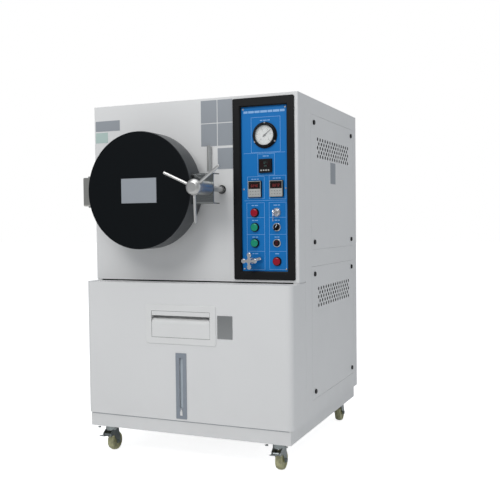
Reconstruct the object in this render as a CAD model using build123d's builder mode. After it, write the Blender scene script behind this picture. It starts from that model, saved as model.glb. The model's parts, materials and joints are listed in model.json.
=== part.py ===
from build123d import *
from math import cos, radians, sin, sqrt
import os

os.makedirs("parts", exist_ok=True)

# Environmental test chamber on casters, in millimetres.
# X runs to the viewer's right, Y runs from front to back and Z runs up from the floor.
# The origin is on the floor, under the middle of the whole object's box.

# Cabinet
body_width = 850.0
body_depth = 770.0
body_height = 1350.0
caster_height = 108.0
plinth_height = 52.0
upper_height = 675.0
shadow_gap = 5.0
shell_wall = 3.0
sheet = 2.0
seam_gap = 0.5
seat_gap = 0.3
return_depth = 68.0
front_edge_radius = 5.0
cover_out = 75.0
cover_edge_radius = 22.0
plinth_out = 70.0
plinth_side_inset = 12.0
plinth_back_inset = 10.0
post_width = 20.0
post_notch = 24.0
post_sheet = 2.0
shelf_sheet = 3.0

# Side panels
panel_sheet = 1.5
panel_front = 142.0
panel_back = 720.0
upper_panel_rise = 112.0
upper_panel_drop = 61.0
lower_panel_rise = 64.0
lower_panel_lap = 48.0
panel_gap = 0.8
panel_lip = 16.0
fastener_inset_y = 34.0
fastener_inset_z = 28.0
fastener_radius = 9.0
fastener_height = 5.0
vent_radius = 7.5
vent_sides = 8
vent_rows = 5
vent_columns = 14
vent_pitch_y = 32.0
vent_pitch_z = 16.0
vent_drop = 86.0

# Door drum and vessel
door_x = -143.0
door_rise = 337.0
drum_radius = 215.0
drum_front_out = 145.0
drum_back_out = 57.0
drum_sheet = 2.0
drum_edge = 3.0
lid_radius = 200.0
lid_thickness = 18.0
gasket_compressed = 2.0
flange_radius = 202.0
flange_thickness = 25.0
vessel_bore = 182.0
vessel_wall = 5.0
vessel_depth_in = 480.0
vessel_end_plate = 8.0
neck_gap = 3.0
gasket_inner = 184.5
gasket_outer = 196.0
gasket_groove = 5.0
saddle_width = 260.0
saddle_sheet = 6.0

# Door arm, a channel that crosses behind the drum's face
arm_height = 108.0
notch_margin = 10.0
arm_sheet = 3.0
arm_web_out = 124.0
arm_bend_radius = 6.0
arm_left = -394.0
arm_right = 152.0
arm_stud_radius = 10.0
arm_stud_spread = 90.0

# Hinge
pivot_x = -375.0
pivot_out = 100.0
pin_radius = 8.0
running_fit = 0.05
hex_sides = 6
ear_half_width = 14.0
ear_thickness = 10.0
hinge_plate_width = 44.0
hinge_plate_thickness = 8.0
pin_head_radius = 11.0
pin_head_height = 5.0

# Three-lever lock
lock_x = 128.0
lock_rise = 338.0
hub_out = 226.0
hub_radius = 28.0
hub_half = 19.0
hub_edge = 12.0
sleeve_radius = 24.0
shaft_radius = 10.5
shaft_end_out = 8.0
bolt_neck_radius = 3.9
bolt_head_length = 16.0
bolt_head_width = 8.0
bolt_head_thickness = 6.0
lever_count = 3
lever_first_angle = 154.5
lever_length = 124.0
lever_lean = 6.0
lever_radius = 5.0
lever_tip = 3.0
lever_socket = 14.0
collar_bore = 13.0
collar_radius = 15.5
collar_height = 5.0
keeper_size = 50.0
keeper_thickness = 4.0
keeper_slot_length = 24.0
keeper_slot_width = 11.0
keeper_gap = 0.8
keeper_corner = 4.0

# Guide tube above the arm
guide_x = 81.0
guide_out = 9.5
guide_low_rise = 405.0
guide_top_rise = 500.0
guide_radius = 7.5
guide_bore = 4.5
guide_block = 11.0

# Control panel
console_x = 293.5
console_rise = 336.0
frame_width = 236.0
frame_height = 656.0
frame_out = 5.0
frame_in = 7.0
frame_rim = 6.0
frame_corner = 5.0
frame_bevel = 4.0
window_width = 178.0
window_height = 594.0
plate_sheet = 2.0
plate_screw_radius = 3.2
plate_screw_height = 1.6
plate_screw_inset_x = 7.5
plate_screw_inset_z = 8.0

# Gauge
gauge_x = 297.0
gauge_rise = 528.5
gauge_radius = 47.0
gauge_flange = 4.0
gauge_edge = 1.2
gauge_bezel_radius = 42.0
gauge_bezel_out = 11.0
dial_radius = 39.0
dial_thickness = 1.0
dial_in = 2.0
glass_thickness = 1.2
glass_in = 1.5
needle_length = 30.0
needle_tail = 9.0
needle_width = 2.4
needle_tip = 0.5
needle_hub_radius = 4.0
needle_angle = 40.0
gauge_screw_radius = 2.6
gauge_screw_height = 1.4
gauge_screw_ring = 44.5

# Instruments
controller_x = 299.0
controller_rise = 418.5
controller_size = 50.0
controller_window_rise = 6.0
controller_window_width = 39.0
controller_window_height = 24.0
controller_key_drop = 16.0
controller_key_pitch = 9.5
controller_key_width = 6.5
controller_key_height = 5.0
instrument_out = 9.0
instrument_corner = 2.5
instrument_edge = 2.0
key_cap_height = 0.8
instrument_window_in = 1.2
timer_rise = 336.0
timer_left_x = 257.0
timer_right_x = 340.5
timer_width = 52.0
timer_height = 60.0
timer_window_rise = 12.0
timer_window_width = 40.6
timer_window_height = 20.4
timer_key_drop = 13.2
timer_key_pitch_x = 10.4
timer_key_pitch_z = 10.8
timer_key_width = 7.3
timer_key_height = 6.6

# Switches
left_column_x = 254.5
right_column_x = 339.5
switch_top_rise = 251.0
switch_second_rise = 198.0
switch_third_rise = 141.0
lamp_rise = 75.0
bezel_radius = 15.0
bezel_bore = 11.3
bezel_height = 4.0
bezel_edge = 0.8
button_radius = 11.0
button_out = 9.0
button_edge = 1.2
button_travel = 4.0
buzzer_slot_pitch = 5.0
buzzer_slot_height = 1.6
buzzer_slot_depth = 1.5
knob_base_height = 8.0
knob_grip_length = 26.0
knob_turn = 60.0
knob_grip_width = 8.0
knob_grip_height = 14.0
key_barrel_radius = 10.0
key_barrel_out = 10.0
key_switch_edge = 1.5
key_sheet = 2.2
key_bow = 22.0
key_blade_half = 3.5
key_hole_reach = 14.5
key_hole_radius = 2.75
tag_reach = 12.1
key_shank = 10.0
tag_width = 14.0
tag_height = 24.0
tag_lap = 3.0
tag_corner = 3.0
lamp_out = 8.0

# Valve
valve_x = 245.5
valve_rise = 77.0
valve_stem_out = 40.0
valve_bonnet_radius = 12.0
valve_bonnet_out = 18.0
valve_neck_radius = 9.0
valve_outlet_out = 10.8
outlet_turn = 14.0
valve_stem_radius = 5.0
valve_outlet_radius = 6.0
valve_outlet_length = 38.0
handle_hub_radius = 9.0
handle_lobe_radius = 8.0
handle_lobe_ring = 22.0
handle_spoke_width = 9.0
handle_thickness = 11.0
handle_cap = 2.0
handle_edge = 1.4

# Lower front cover
pull_x = -13.0
pull_drop = 153.0
pull_frame_width = 290.0
pull_frame_height = 146.0
pull_frame_out = 3.0
pull_pocket_width = 242.0
pull_pocket_height = 99.0
pull_pocket_depth = 38.0
pull_wall = 2.0
pull_frame_corner = 8.0
pull_lip = 17.0
pull_lip_thickness = 4.0
pull_recess = 1.0
pull_curve = 20.0
scoop_rise = 2.0
level_x = -12.6
level_drop = 125.0
level_plate_width = 44.0
level_plate_margin = 266.0
level_plate_sheet = 2.0
level_slot_width = 14.0
level_slot_rise = 10.5
level_plate_corner = 1.0
level_slot_margin = 54.0

# Lower bay
tube_radius = 5.0
tube_bend = 11.0
tube_out = 62.0
elbow_radius = 7.0
tank_left = -215.0
tank_right = 165.0
tank_front_in = 20.0
tank_depth = 300.0
tank_headroom = 260.0
tank_corner = 12.0
tank_cap_radius = 30.0
box_width = 170.0
box_side_gap = 40.0
box_front_in = 120.0
box_depth = 380.0
box_corner = 6.0
box_headroom = 110.0
box_door = 3.0

# Specimen rack
rack_width = 312.0
rack_depth = 440.0
rack_eave = 164.0
rack_apex = 235.0
rack_front_in = 10.0
rack_sheet = 1.5
rack_flange = 12.0
rack_drop = 82.0
deflector_eave = 57.0
deflector_apex = 104.0
lower_tray = 31.0
upper_tray = 116.0
tray_bar = 19.0
tray_sheet = 1.5
tray_side_gap = 1.0
tray_slot_count = 6
tray_slot_width = 8.0
tray_slot_share = 0.8
rail_width = 30.0
rail_sheet = 3.0

# Inside the vessel
heater_radius = 5.0
heater_leg = 55.0
heater_drop = 155.0
heater_front_in = 60.0
probe_radius = 4.0
probe_edge = 2.4
probe_length = 120.0
probe_side = 95.0
probe_rise = 125.0

# Rear pipe
pipe_radius = 10.5
pipe_bore = 8.0
pipe_length = 35.0
pipe_x = 120.0
pipe_z = 300.0
pipe_nut_radius = 17.0
pipe_nut_height = 8.0
rear_slot_width = 90.0
rear_slot_height = 8.0
rear_slot_pitch = 24.0
rear_slot_rows = 6

# Casters
wheel_radius = 36.0
wheel_width = 25.0
wheel_boss_radius = 8.8
wheel_dish = 3.0
wheel_dish_inner = 24.48
wheel_dish_outer = 25.92
tread_crown = 3.0
axle_radius = 4.0
caster_side_inset = 73.0
front_caster_inset = 48.0
rear_caster_inset = 50.0
caster_trail = 20.0
caster_plate_x = 96.0
caster_plate_y = 76.0
corner_margin = 12.0
caster_plate_sheet = 3.0
caster_plate_corner = 6.0
race_radius = 24.0
race_height = 9.0
kingpin_radius = 5.0
fork_sheet = 3.0
crown_front = 19.2
crown_rear = 21.6
fork_toe = 12.0
fork_toe_lift = 4.0
fork_foot = 9.0
fork_heel = 14.0
fork_heel_lift = 6.0
fork_knee = 12.0
fork_waist_drop = 20.0
fork_gap = 2.5
fork_top_z = 88.0
pedal_pin_forward = 30.0
pedal_pin_z = 70.0
pedal_pin_radius = 3.0
pedal_barrel_radius = 6.0
pedal_length = 42.0
pedal_rise = 6.0
pedal_lap = 1.5
pedal_width = 22.0
pedal_sheet = 3.0
brake_ear = 6.0
brake_ear_root = 4.0

# Places worked out from the sizes above
nose_out = hub_out + hub_half
panel_y = (nose_out - body_depth - pipe_length) / 2
plinth_top = caster_height + plinth_height
upper_low = body_height - upper_height
cover_top = upper_low - shadow_gap
cover_height = cover_top - plinth_top
door_z = upper_low + door_rise
lock_z = upper_low + lock_rise
guide_low = upper_low + guide_low_rise
guide_top = upper_low + guide_top_rise
console_z = upper_low + console_rise
gauge_z = upper_low + gauge_rise
controller_z = upper_low + controller_rise
timer_z = upper_low + timer_rise
switch_top_z = upper_low + switch_top_rise
switch_second_z = upper_low + switch_second_rise
switch_third_z = upper_low + switch_third_rise
lamp_z = upper_low + lamp_rise
valve_z = upper_low + valve_rise
upper_panel_low = upper_low + upper_panel_rise
upper_panel_top = body_height - upper_panel_drop
lower_panel_low = plinth_top + lower_panel_rise
lower_panel_top = upper_low + lower_panel_lap
pull_z = cover_top - pull_drop
scoop_low = pull_z + scoop_rise
level_z = plinth_top + cover_height / 2 - level_drop
level_plate_height = cover_height - level_plate_margin
level_slot_height = level_plate_height - level_slot_margin
box_height = cover_height - box_headroom
box_right = body_width / 2 - box_side_gap
box_left = box_right - box_width
tank_height = cover_height - tank_headroom
caster_x = body_width / 2 - caster_side_inset
front_caster_y = front_caster_inset - plinth_out
rear_caster_y = body_depth - rear_caster_inset
tray_levels = (lower_tray, upper_tray)
lid_back_out = drum_back_out
lid_front_out = lid_back_out + lid_thickness
flange_front_out = lid_back_out - gasket_compressed
shell_front_in = return_depth + seam_gap
plate_in = frame_in
vessel_radius = vessel_bore + vessel_wall
rack_low = door_z - rack_drop
rail_top = rack_low - seat_gap


def facing(out):
    """Plane that faces the front, this far in front of the upper panel."""
    return Plane.XZ.offset(out - panel_y)


def side(x):
    """Plane across the width at x, with Y to its right and Z up."""
    return Plane.YZ.offset(x)


def depth(inside):
    """Y of a place this far behind the upper panel's face."""
    return panel_y + inside


def write(piece, name):
    piece.part.label = name
    export_step(piece.part, f"parts/{name}.step")


# Cabinet shell: a welded tube of sheet with a shelf between its two bays
with BuildPart() as cabinet_shell:
    shell_length = body_depth - shell_front_in - sheet
    shell_height = body_height - plinth_top
    with BuildSketch(facing(-shell_front_in)):
        with Locations((0, (plinth_top + body_height) / 2)):
            Rectangle(body_width, shell_height)
            Rectangle(body_width - 2 * shell_wall, shell_height - 2 * shell_wall, mode=Mode.SUBTRACT)
        with Locations((0, cover_top)):
            Rectangle(body_width - 2 * shell_wall, shelf_sheet)
    extrude(amount=-shell_length)
    # Angle posts that stand behind the two front pans
    post_outer = body_width / 2 - sheet - seam_gap
    with BuildSketch(Plane.XY.offset(plinth_top)) as post_plan:
        for hand in (-1, 1):
            with Locations((hand * (post_outer - post_width / 2), depth(sheet + seam_gap + post_sheet / 2))):
                Rectangle(post_width, post_sheet)
            post_mid_in = (sheet + seam_gap + shell_front_in) / 2
            with Locations((hand * (post_outer - post_sheet / 2), depth(post_mid_in))):
                Rectangle(post_sheet, shell_front_in - sheet - seam_gap)
            with Locations((hand * (post_outer - post_width / 2), depth(shell_front_in - post_sheet / 2))):
                Rectangle(post_width, post_sheet)
        post_corners = post_plan.vertices().group_by(Axis.Y)[0].sort_by(Axis.X)
        fillet([post_corners[0], post_corners[-1]], front_edge_radius - sheet)
    extrude(amount=body_height - plinth_top - sheet - seam_gap)
    # Seats and openings of the four side panels
    for hand in (-1, 1):
        for low, top in ((upper_panel_low, upper_panel_top), (lower_panel_low, lower_panel_top)):
            middle = (depth((panel_front + panel_back) / 2), (low + top) / 2)
            with BuildSketch(side(hand * body_width / 2)):
                with Locations(middle):
                    Rectangle(panel_back - panel_front + 2 * panel_gap, top - low + 2 * panel_gap)
            extrude(amount=-hand * panel_sheet, mode=Mode.SUBTRACT)
            with BuildSketch(side(hand * body_width / 2)):
                with Locations(middle):
                    Rectangle(panel_back - panel_front - 2 * panel_lip, top - low - 2 * panel_lip)
            extrude(amount=-hand * shell_wall, mode=Mode.SUBTRACT)
write(cabinet_shell, "cabinet_shell")

# Upper front panel: a pan with bent returns, the vessel's hole and the console's opening
with BuildPart() as front_panel:
    with BuildSketch(Plane.XY.offset(upper_low)) as pan_plan:
        with Locations((0, depth(return_depth / 2))):
            Rectangle(body_width, return_depth)
        fillet(pan_plan.vertices().group_by(Axis.Y)[0], front_edge_radius)
    extrude(amount=upper_height)
    with BuildSketch(Plane.XY.offset(upper_low + sheet)) as pan_hollow:
        with Locations((0, depth((return_depth + sheet) / 2))):
            Rectangle(body_width - 2 * sheet, return_depth - sheet)
        fillet(pan_hollow.vertices().group_by(Axis.Y)[0], front_edge_radius - sheet)
    extrude(amount=upper_height - 2 * sheet, mode=Mode.SUBTRACT)
    # The bottom return is a narrow lip that stops short of the posts
    with BuildSketch(Plane.XY.offset(upper_low)):
        with Locations((0, depth(return_depth / 2 + post_width / 2))):
            Rectangle(body_width - 2 * sheet, return_depth - post_width)
        for hand in (-1, 1):
            notch_x = body_width / 2 - sheet - post_notch / 2
            with Locations((hand * notch_x, depth(sheet + post_width / 2))):
                Rectangle(post_notch, post_width)
    extrude(amount=sheet, mode=Mode.SUBTRACT)
    with BuildSketch(facing(0)):
        with Locations((door_x, door_z)):
            Circle(vessel_radius + neck_gap)
        with Locations((lock_x, lock_z)):
            Circle(collar_bore)
        console_gap = 2 * frame_rim + 2 * panel_gap
        with Locations((console_x, console_z)):
            Rectangle(window_width + console_gap, window_height + console_gap)
    extrude(amount=-sheet, mode=Mode.SUBTRACT)
    # Keeper plate welded behind the panel, with the slot that the lock's T-shaped head passes
    with BuildSketch(facing(-sheet)):
        with Locations((lock_x, lock_z)):
            RectangleRounded(keeper_size, keeper_size, keeper_corner)
            SlotOverall(keeper_slot_length, keeper_slot_width, mode=Mode.SUBTRACT)
    extrude(amount=-keeper_thickness)
write(front_panel, "front_panel")

# Base plinth: a tray with a skirt and four corner plates for the casters
with BuildPart() as base_plinth:
    plinth_width = body_width - 2 * plinth_side_inset
    plinth_length = plinth_out + body_depth - plinth_back_inset
    plinth_mid_y = depth((body_depth - plinth_back_inset - plinth_out) / 2)
    with BuildSketch(Plane.XY.offset(caster_height)):
        with Locations((0, plinth_mid_y)):
            Rectangle(plinth_width, plinth_length)
    extrude(amount=plinth_height)
    with BuildSketch(Plane.XY.offset(caster_height)):
        with Locations((0, plinth_mid_y)):
            Rectangle(plinth_width - 2 * shell_wall, plinth_length - 2 * shell_wall)
    extrude(amount=plinth_height - shell_wall, mode=Mode.SUBTRACT)
    corner_x = caster_plate_x + corner_margin
    corner_y = caster_plate_y + corner_margin
    with BuildSketch(Plane.XY.offset(caster_height)):
        for hand in (-1, 1):
            for end in (-1, 1):
                corner_mid_y = plinth_mid_y + end * (plinth_length - corner_y) / 2
                with Locations((hand * (plinth_width - corner_x) / 2, corner_mid_y)):
                    Rectangle(corner_x, corner_y)
    extrude(amount=shell_wall)
write(base_plinth, "base_plinth")

# Back panel with cooling slots and the pipe's hole
with BuildPart() as back_panel:
    with BuildSketch(facing(-body_depth)):
        with Locations((0, (plinth_top + body_height) / 2)):
            Rectangle(body_width, body_height - plinth_top)
        with Locations((0, (upper_panel_low + upper_panel_top) / 2)):
            with GridLocations(2 * rear_slot_width, rear_slot_pitch, 2, rear_slot_rows):
                Rectangle(rear_slot_width, rear_slot_height, mode=Mode.SUBTRACT)
        with Locations((pipe_x, pipe_z)):
            Circle(pipe_radius + running_fit, mode=Mode.SUBTRACT)
    extrude(amount=sheet)
write(back_panel, "back_panel")

# Four lift-off side panels, each with a punched vent near its top
with BuildPart() as side_panels:
    for hand in (-1, 1):
        for low, top in ((upper_panel_low, upper_panel_top), (lower_panel_low, lower_panel_top)):
            with BuildSketch(side(hand * (body_width / 2 - panel_sheet))):
                with Locations((depth((panel_front + panel_back) / 2), (low + top) / 2)):
                    Rectangle(panel_back - panel_front, top - low)
                vent_z = top - vent_drop - (vent_rows - 1) * vent_pitch_z / 2
                for row in range(vent_rows):
                    row_z = vent_z + (row - (vent_rows - 1) / 2) * vent_pitch_z
                    columns = vent_columns - row % 2
                    with Locations((depth((panel_front + panel_back) / 2), row_z)):
                        with GridLocations(vent_pitch_y, vent_pitch_z, columns, 1):
                            RegularPolygon(vent_radius, vent_sides, mode=Mode.SUBTRACT)
            extrude(amount=hand * panel_sheet)
write(side_panels, "side_panels")

# Black quarter-turn fasteners at the corners of the side panels
with BuildPart() as panel_fasteners:
    for hand in (-1, 1):
        with BuildSketch(side(hand * body_width / 2)):
            for low, top in ((upper_panel_low, upper_panel_top), (lower_panel_low, lower_panel_top)):
                fastener_pitch_y = panel_back - panel_front - 2 * fastener_inset_y
                fastener_pitch_z = top - low - 2 * fastener_inset_z
                with Locations((depth((panel_front + panel_back) / 2), (low + top) / 2)):
                    with GridLocations(fastener_pitch_y, fastener_pitch_z, 2, 2):
                        Circle(fastener_radius)
        extrude(amount=hand * fastener_height)
    chamfer(panel_fasteners.faces().group_by(Axis.X)[0].edges(), fastener_height / 4)
    chamfer(panel_fasteners.faces().group_by(Axis.X)[-1].edges(), fastener_height / 4)
write(panel_fasteners, "panel_fasteners")

# Pressure vessel: bolted flange, drawn neck, flat end and two saddles on the shelf
with BuildPart() as pressure_vessel:
    with BuildSketch(Plane.XY.offset(door_z)):
        with BuildLine():
            Polyline(
                (door_x + vessel_bore, depth(-flange_front_out)),
                (door_x + gasket_inner, depth(-flange_front_out)),
                (door_x + gasket_inner, depth(gasket_groove - flange_front_out)),
                (door_x + gasket_outer, depth(gasket_groove - flange_front_out)),
                (door_x + gasket_outer, depth(-flange_front_out)),
                (door_x + flange_radius, depth(-flange_front_out)),
                (door_x + flange_radius, depth(flange_thickness - flange_front_out)),
                (door_x + vessel_radius, depth(flange_thickness - flange_front_out)),
                (door_x + vessel_radius, depth(vessel_depth_in)),
                (door_x, depth(vessel_depth_in)),
                (door_x, depth(vessel_depth_in - vessel_end_plate)),
                (door_x + vessel_bore, depth(vessel_depth_in - vessel_end_plate)),
                close=True,
            )
        make_face()
    revolve(axis=Axis((door_x, 0, door_z), (0, 1, 0)))
    saddle_low = cover_top + shelf_sheet / 2
    for saddle_in in (vessel_depth_in / 4, vessel_depth_in * 3 / 4):
        with BuildSketch(facing(-saddle_in)):
            with Locations((door_x, (saddle_low + door_z - vessel_bore / 2) / 2)):
                Rectangle(saddle_width, door_z - vessel_bore / 2 - saddle_low)
            with Locations((door_x, door_z)):
                Circle(vessel_radius - vessel_wall / 2, mode=Mode.SUBTRACT)
        extrude(amount=-saddle_sheet)
    # Two angle rails welded to the bore, which carry the rack
    rail_outer = sqrt(vessel_bore**2 - (door_z - rail_top + rail_sheet) ** 2)
    rail_inner = rail_outer - rail_width
    leg_low = door_z - sqrt(vessel_bore**2 - rail_inner**2) - vessel_wall / 2
    with BuildSketch(facing(0)):
        for hand in (-1, 1):
            with Locations((door_x + hand * (rail_inner + rail_width / 2), rail_top - rail_sheet / 2)):
                Rectangle(rail_width, rail_sheet)
            with Locations((door_x + hand * (rail_inner + rail_sheet / 2), (rail_top + leg_low) / 2)):
                Rectangle(rail_sheet, rail_top - leg_low)
    extrude(amount=vessel_end_plate / 2 - vessel_depth_in)
write(pressure_vessel, "pressure_vessel")

# Silicone gasket in the flange's groove
with BuildPart() as door_gasket:
    with BuildSketch(facing(flange_front_out - gasket_groove)):
        with Locations((door_x, door_z)):
            Circle(gasket_outer)
            Circle(gasket_inner, mode=Mode.SUBTRACT)
    extrude(amount=gasket_groove + gasket_compressed - seat_gap)
write(door_gasket, "door_gasket")

# Tubular heater loop in the bottom of the vessel
with BuildPart() as heater_element:
    heater_z = door_z - heater_drop
    heater_back = depth(vessel_depth_in - vessel_end_plate)
    heater_bend = depth(heater_front_in + heater_leg)
    with BuildLine() as heater_path:
        Line((door_x - heater_leg, heater_back, heater_z), (door_x - heater_leg, heater_bend, heater_z))
        ThreePointArc(
            (door_x - heater_leg, heater_bend, heater_z),
            (door_x, heater_bend - heater_leg, heater_z),
            (door_x + heater_leg, heater_bend, heater_z),
        )
        Line((door_x + heater_leg, heater_bend, heater_z), (door_x + heater_leg, heater_back, heater_z))
    with BuildSketch(Plane(origin=(door_x - heater_leg, heater_back, heater_z), z_dir=(0, -1, 0))):
        Circle(heater_radius)
    sweep()
write(heater_element, "heater_element")

# Temperature probe from the vessel's end plate
with BuildPart() as temperature_probe:
    with BuildSketch(facing(vessel_end_plate - vessel_depth_in)):
        with Locations((door_x + probe_side, door_z + probe_rise)):
            Circle(probe_radius)
    extrude(amount=probe_length)
    fillet(temperature_probe.faces().sort_by(Axis.Y)[0].edges(), probe_edge)
write(temperature_probe, "temperature_probe")


def roof_outline(half_width, eave, apex, wall):
    """Folded sheet with two slopes, as seen from the front."""
    Polygon(
        (door_x - half_width, rack_low + eave),
        (door_x, rack_low + apex),
        (door_x + half_width, rack_low + eave),
        (door_x + half_width, rack_low + eave - wall),
        (door_x, rack_low + apex - wall),
        (door_x - half_width, rack_low + eave - wall),
        align=None,
    )


# Specimen rack: folded sides, pitched roof, a deflector above the lower tray and cross rails
with BuildPart() as rack_frame:
    half_rack = rack_width / 2
    with BuildSketch(facing(-rack_front_in)):
        for hand in (-1, 1):
            with Locations((door_x + hand * (half_rack - rack_sheet / 2), rack_low + rack_eave / 2)):
                Rectangle(rack_sheet, rack_eave)
            with Locations((door_x + hand * (half_rack - rack_flange / 2), rack_low + rack_sheet / 2)):
                Rectangle(rack_flange, rack_sheet)
        roof_outline(half_rack, rack_eave, rack_apex, 2 * rack_sheet)
        roof_outline(half_rack, deflector_eave, deflector_apex, rack_sheet)
        # Runners under the trays, welded to the side sheets
        for level in tray_levels:
            for hand in (-1, 1):
                runner_z = rack_low + level - rack_sheet / 2
                with Locations((door_x + hand * (half_rack - rack_flange / 2), runner_z)):
                    Rectangle(rack_flange, rack_sheet)
    extrude(amount=-rack_depth)
    for rail_in in (rack_front_in, rack_front_in + rack_depth - rack_sheet):
        with BuildSketch(facing(-rail_in)):
            with Locations((door_x, rack_low + rack_flange / 2)):
                Rectangle(rack_width, rack_flange)
            with Locations((door_x, rack_low + rack_eave - rack_flange / 2)):
                Rectangle(rack_width, rack_flange)
        extrude(amount=-rack_sheet)
write(rack_frame, "rack_frame")

# Two slotted trays, each with a folded front bar
with BuildPart() as rack_trays:
    tray_width = rack_width - 2 * rack_sheet - 2 * tray_side_gap
    tray_length = rack_depth - 2 * rack_sheet - 2 * tray_side_gap
    tray_front_in = rack_front_in + rack_sheet + tray_side_gap
    for level in tray_levels:
        with BuildSketch(Plane.XY.offset(rack_low + level)):
            with Locations((door_x, depth(tray_front_in + tray_length / 2))):
                Rectangle(tray_width, tray_length)
                with GridLocations(tray_width / tray_slot_count, 0, tray_slot_count - 1, 1):
                    Rectangle(tray_slot_width, tray_length * tray_slot_share, mode=Mode.SUBTRACT)
        extrude(amount=tray_sheet)
        with BuildSketch(facing(-tray_front_in)):
            with Locations((door_x, rack_low + level + tray_bar / 2)):
                Rectangle(tray_width, tray_bar)
        extrude(amount=-tray_sheet)
write(rack_trays, "rack_trays")

# Water tank with its filler cap, behind the lower cover
with BuildPart() as water_tank:
    tank_low = plinth_top + shell_wall
    tank_mid_x = (tank_left + tank_right) / 2
    tank_mid_y = depth(shell_front_in + tank_front_in + tank_depth / 2)
    with BuildSketch(Plane.XY.offset(tank_low)) as tank_plan:
        with Locations((tank_mid_x, tank_mid_y)):
            RectangleRounded(tank_right - tank_left, tank_depth, tank_corner)
    extrude(amount=tank_height)
    with BuildSketch(Plane.XY.offset(tank_low + tank_height)):
        with Locations((tank_mid_x, tank_mid_y)):
            Circle(tank_cap_radius)
    extrude(amount=tank_cap_radius / 2)
write(water_tank, "water_tank")

# Level tube with an elbow at each end, seen through the cover's slot
with BuildPart() as level_tube:
    level_low = level_z + level_slot_rise - level_slot_height / 2
    level_top = level_low + level_slot_height
    tank_face = depth(shell_front_in + tank_front_in)
    with BuildLine():
        FilletPolyline(
            (level_x, tank_face, level_low),
            (level_x, depth(-tube_out), level_low),
            (level_x, depth(-tube_out), level_top),
            (level_x, tank_face, level_top),
            radius=tube_bend,
        )
    with BuildSketch(Plane(origin=(level_x, tank_face, level_low), z_dir=(0, -1, 0))):
        Circle(tube_radius)
    sweep()
write(level_tube, "level_tube")

# Electrical box beside the tank
with BuildPart() as electrical_box:
    with BuildSketch(Plane.XY.offset(plinth_top + shell_wall)):
        with Locations(((box_left + box_right) / 2, depth(box_front_in + box_depth / 2))):
            Rectangle(box_right - box_left, box_depth)
    extrude(amount=box_height)
    with BuildSketch(facing(-box_front_in)):
        with Locations(((box_left + box_right) / 2, plinth_top + shell_wall + box_height / 2)):
            RectangleRounded(box_width - 4 * box_door, box_height - 4 * box_door, box_corner)
    extrude(amount=box_door)
    with BuildSketch(facing(-box_front_in - sheet)):
        with Locations(((box_left + box_right) / 2, plinth_top + shell_wall + box_height / 2)):
            Rectangle(box_right - box_left - 2 * sheet, box_height - 2 * sheet)
    extrude(amount=-box_depth, mode=Mode.SUBTRACT)
write(electrical_box, "electrical_box")

# Door drum: a black cup over the lid, notched at both sides where the arm comes out
with BuildPart() as door_cover:
    with BuildSketch(facing(drum_back_out)):
        with Locations((door_x, door_z)):
            Circle(drum_radius)
    extrude(amount=drum_front_out - drum_back_out)
    fillet(door_cover.faces().sort_by(Axis.Y)[0].edges(), drum_edge)
    with BuildSketch(facing(drum_back_out)):
        with Locations((door_x, door_z)):
            Circle(drum_radius - drum_sheet)
    extrude(amount=drum_front_out - drum_back_out - drum_sheet, mode=Mode.SUBTRACT)
    with BuildSketch(facing(drum_back_out)):
        with Locations((door_x, door_z + (lock_z - door_z))):
            Rectangle(2 * drum_radius + notch_margin, arm_height + 2 * seam_gap)
    extrude(amount=arm_web_out + seam_gap - drum_back_out, mode=Mode.SUBTRACT)
write(door_cover, "door_cover")

# Door lid: a thick disc that closes on the gasket
with BuildPart() as door_lid:
    with BuildSketch(facing(lid_back_out)):
        with Locations((door_x, door_z)):
            Circle(lid_radius)
    extrude(amount=lid_thickness)
    chamfer(door_lid.faces().sort_by(Axis.Y)[0].edges(), lid_thickness / 4)
write(door_lid, "door_lid")

# Door arm: a folded channel from the hinge to the lock, with studs under the drum's face
arm_low = lock_z - arm_height / 2
with BuildPart() as door_arm:
    with BuildSketch(side(arm_left)) as arm_section:
        with Locations((depth(-(arm_web_out + lid_front_out) / 2), lock_z)):
            Rectangle(arm_web_out - lid_front_out, arm_height)
        fillet(arm_section.vertices().group_by(Axis.X)[0], arm_bend_radius)
    extrude(amount=arm_right - arm_left)
    with BuildSketch(side(arm_left)) as arm_hollow:
        with Locations((depth(-(arm_web_out - arm_sheet + lid_front_out) / 2), lock_z)):
            Rectangle(arm_web_out - arm_sheet - lid_front_out, arm_height - 2 * arm_sheet)
        fillet(arm_hollow.vertices().group_by(Axis.X)[0], arm_bend_radius - arm_sheet)
    extrude(amount=arm_right - arm_left, mode=Mode.SUBTRACT)
    with BuildSketch(facing(arm_web_out)):
        with Locations((door_x, door_z)):
            with GridLocations(2 * arm_stud_spread, 0, 2, 1):
                Circle(arm_stud_radius)
    extrude(amount=drum_front_out - drum_sheet - arm_web_out)
    with BuildSketch(facing(arm_web_out)):
        with Locations((lock_x, lock_z)):
            Circle(shaft_radius + running_fit)
    extrude(amount=-arm_sheet, mode=Mode.SUBTRACT)
    with BuildSketch(Plane.XY.offset(arm_low)):
        with Locations((pivot_x, depth(-pivot_out))):
            Circle(pin_radius + running_fit)
    extrude(amount=arm_height, mode=Mode.SUBTRACT)
write(door_arm, "door_arm")

# Hinge bracket on the cabinet, with two ears inside the channel
with BuildPart() as hinge_bracket:
    with BuildSketch(facing(0)):
        with Locations((pivot_x, lock_z)):
            RectangleRounded(hinge_plate_width, arm_height, 4)
    extrude(amount=hinge_plate_thickness)
    ear_top = lock_z + arm_height / 2 - arm_sheet - seat_gap
    ear_low = lock_z - arm_height / 2 + arm_sheet + seat_gap
    for ear_z in (ear_low, ear_top - ear_thickness):
        with BuildSketch(Plane.XY.offset(ear_z)):
            with Locations((pivot_x, depth(-pivot_out / 2))):
                Rectangle(2 * ear_half_width, pivot_out)
            with Locations((pivot_x, depth(-pivot_out))):
                Circle(ear_half_width)
                Circle(pin_radius, mode=Mode.SUBTRACT)
        extrude(amount=ear_thickness)
write(hinge_bracket, "hinge_bracket")

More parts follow.
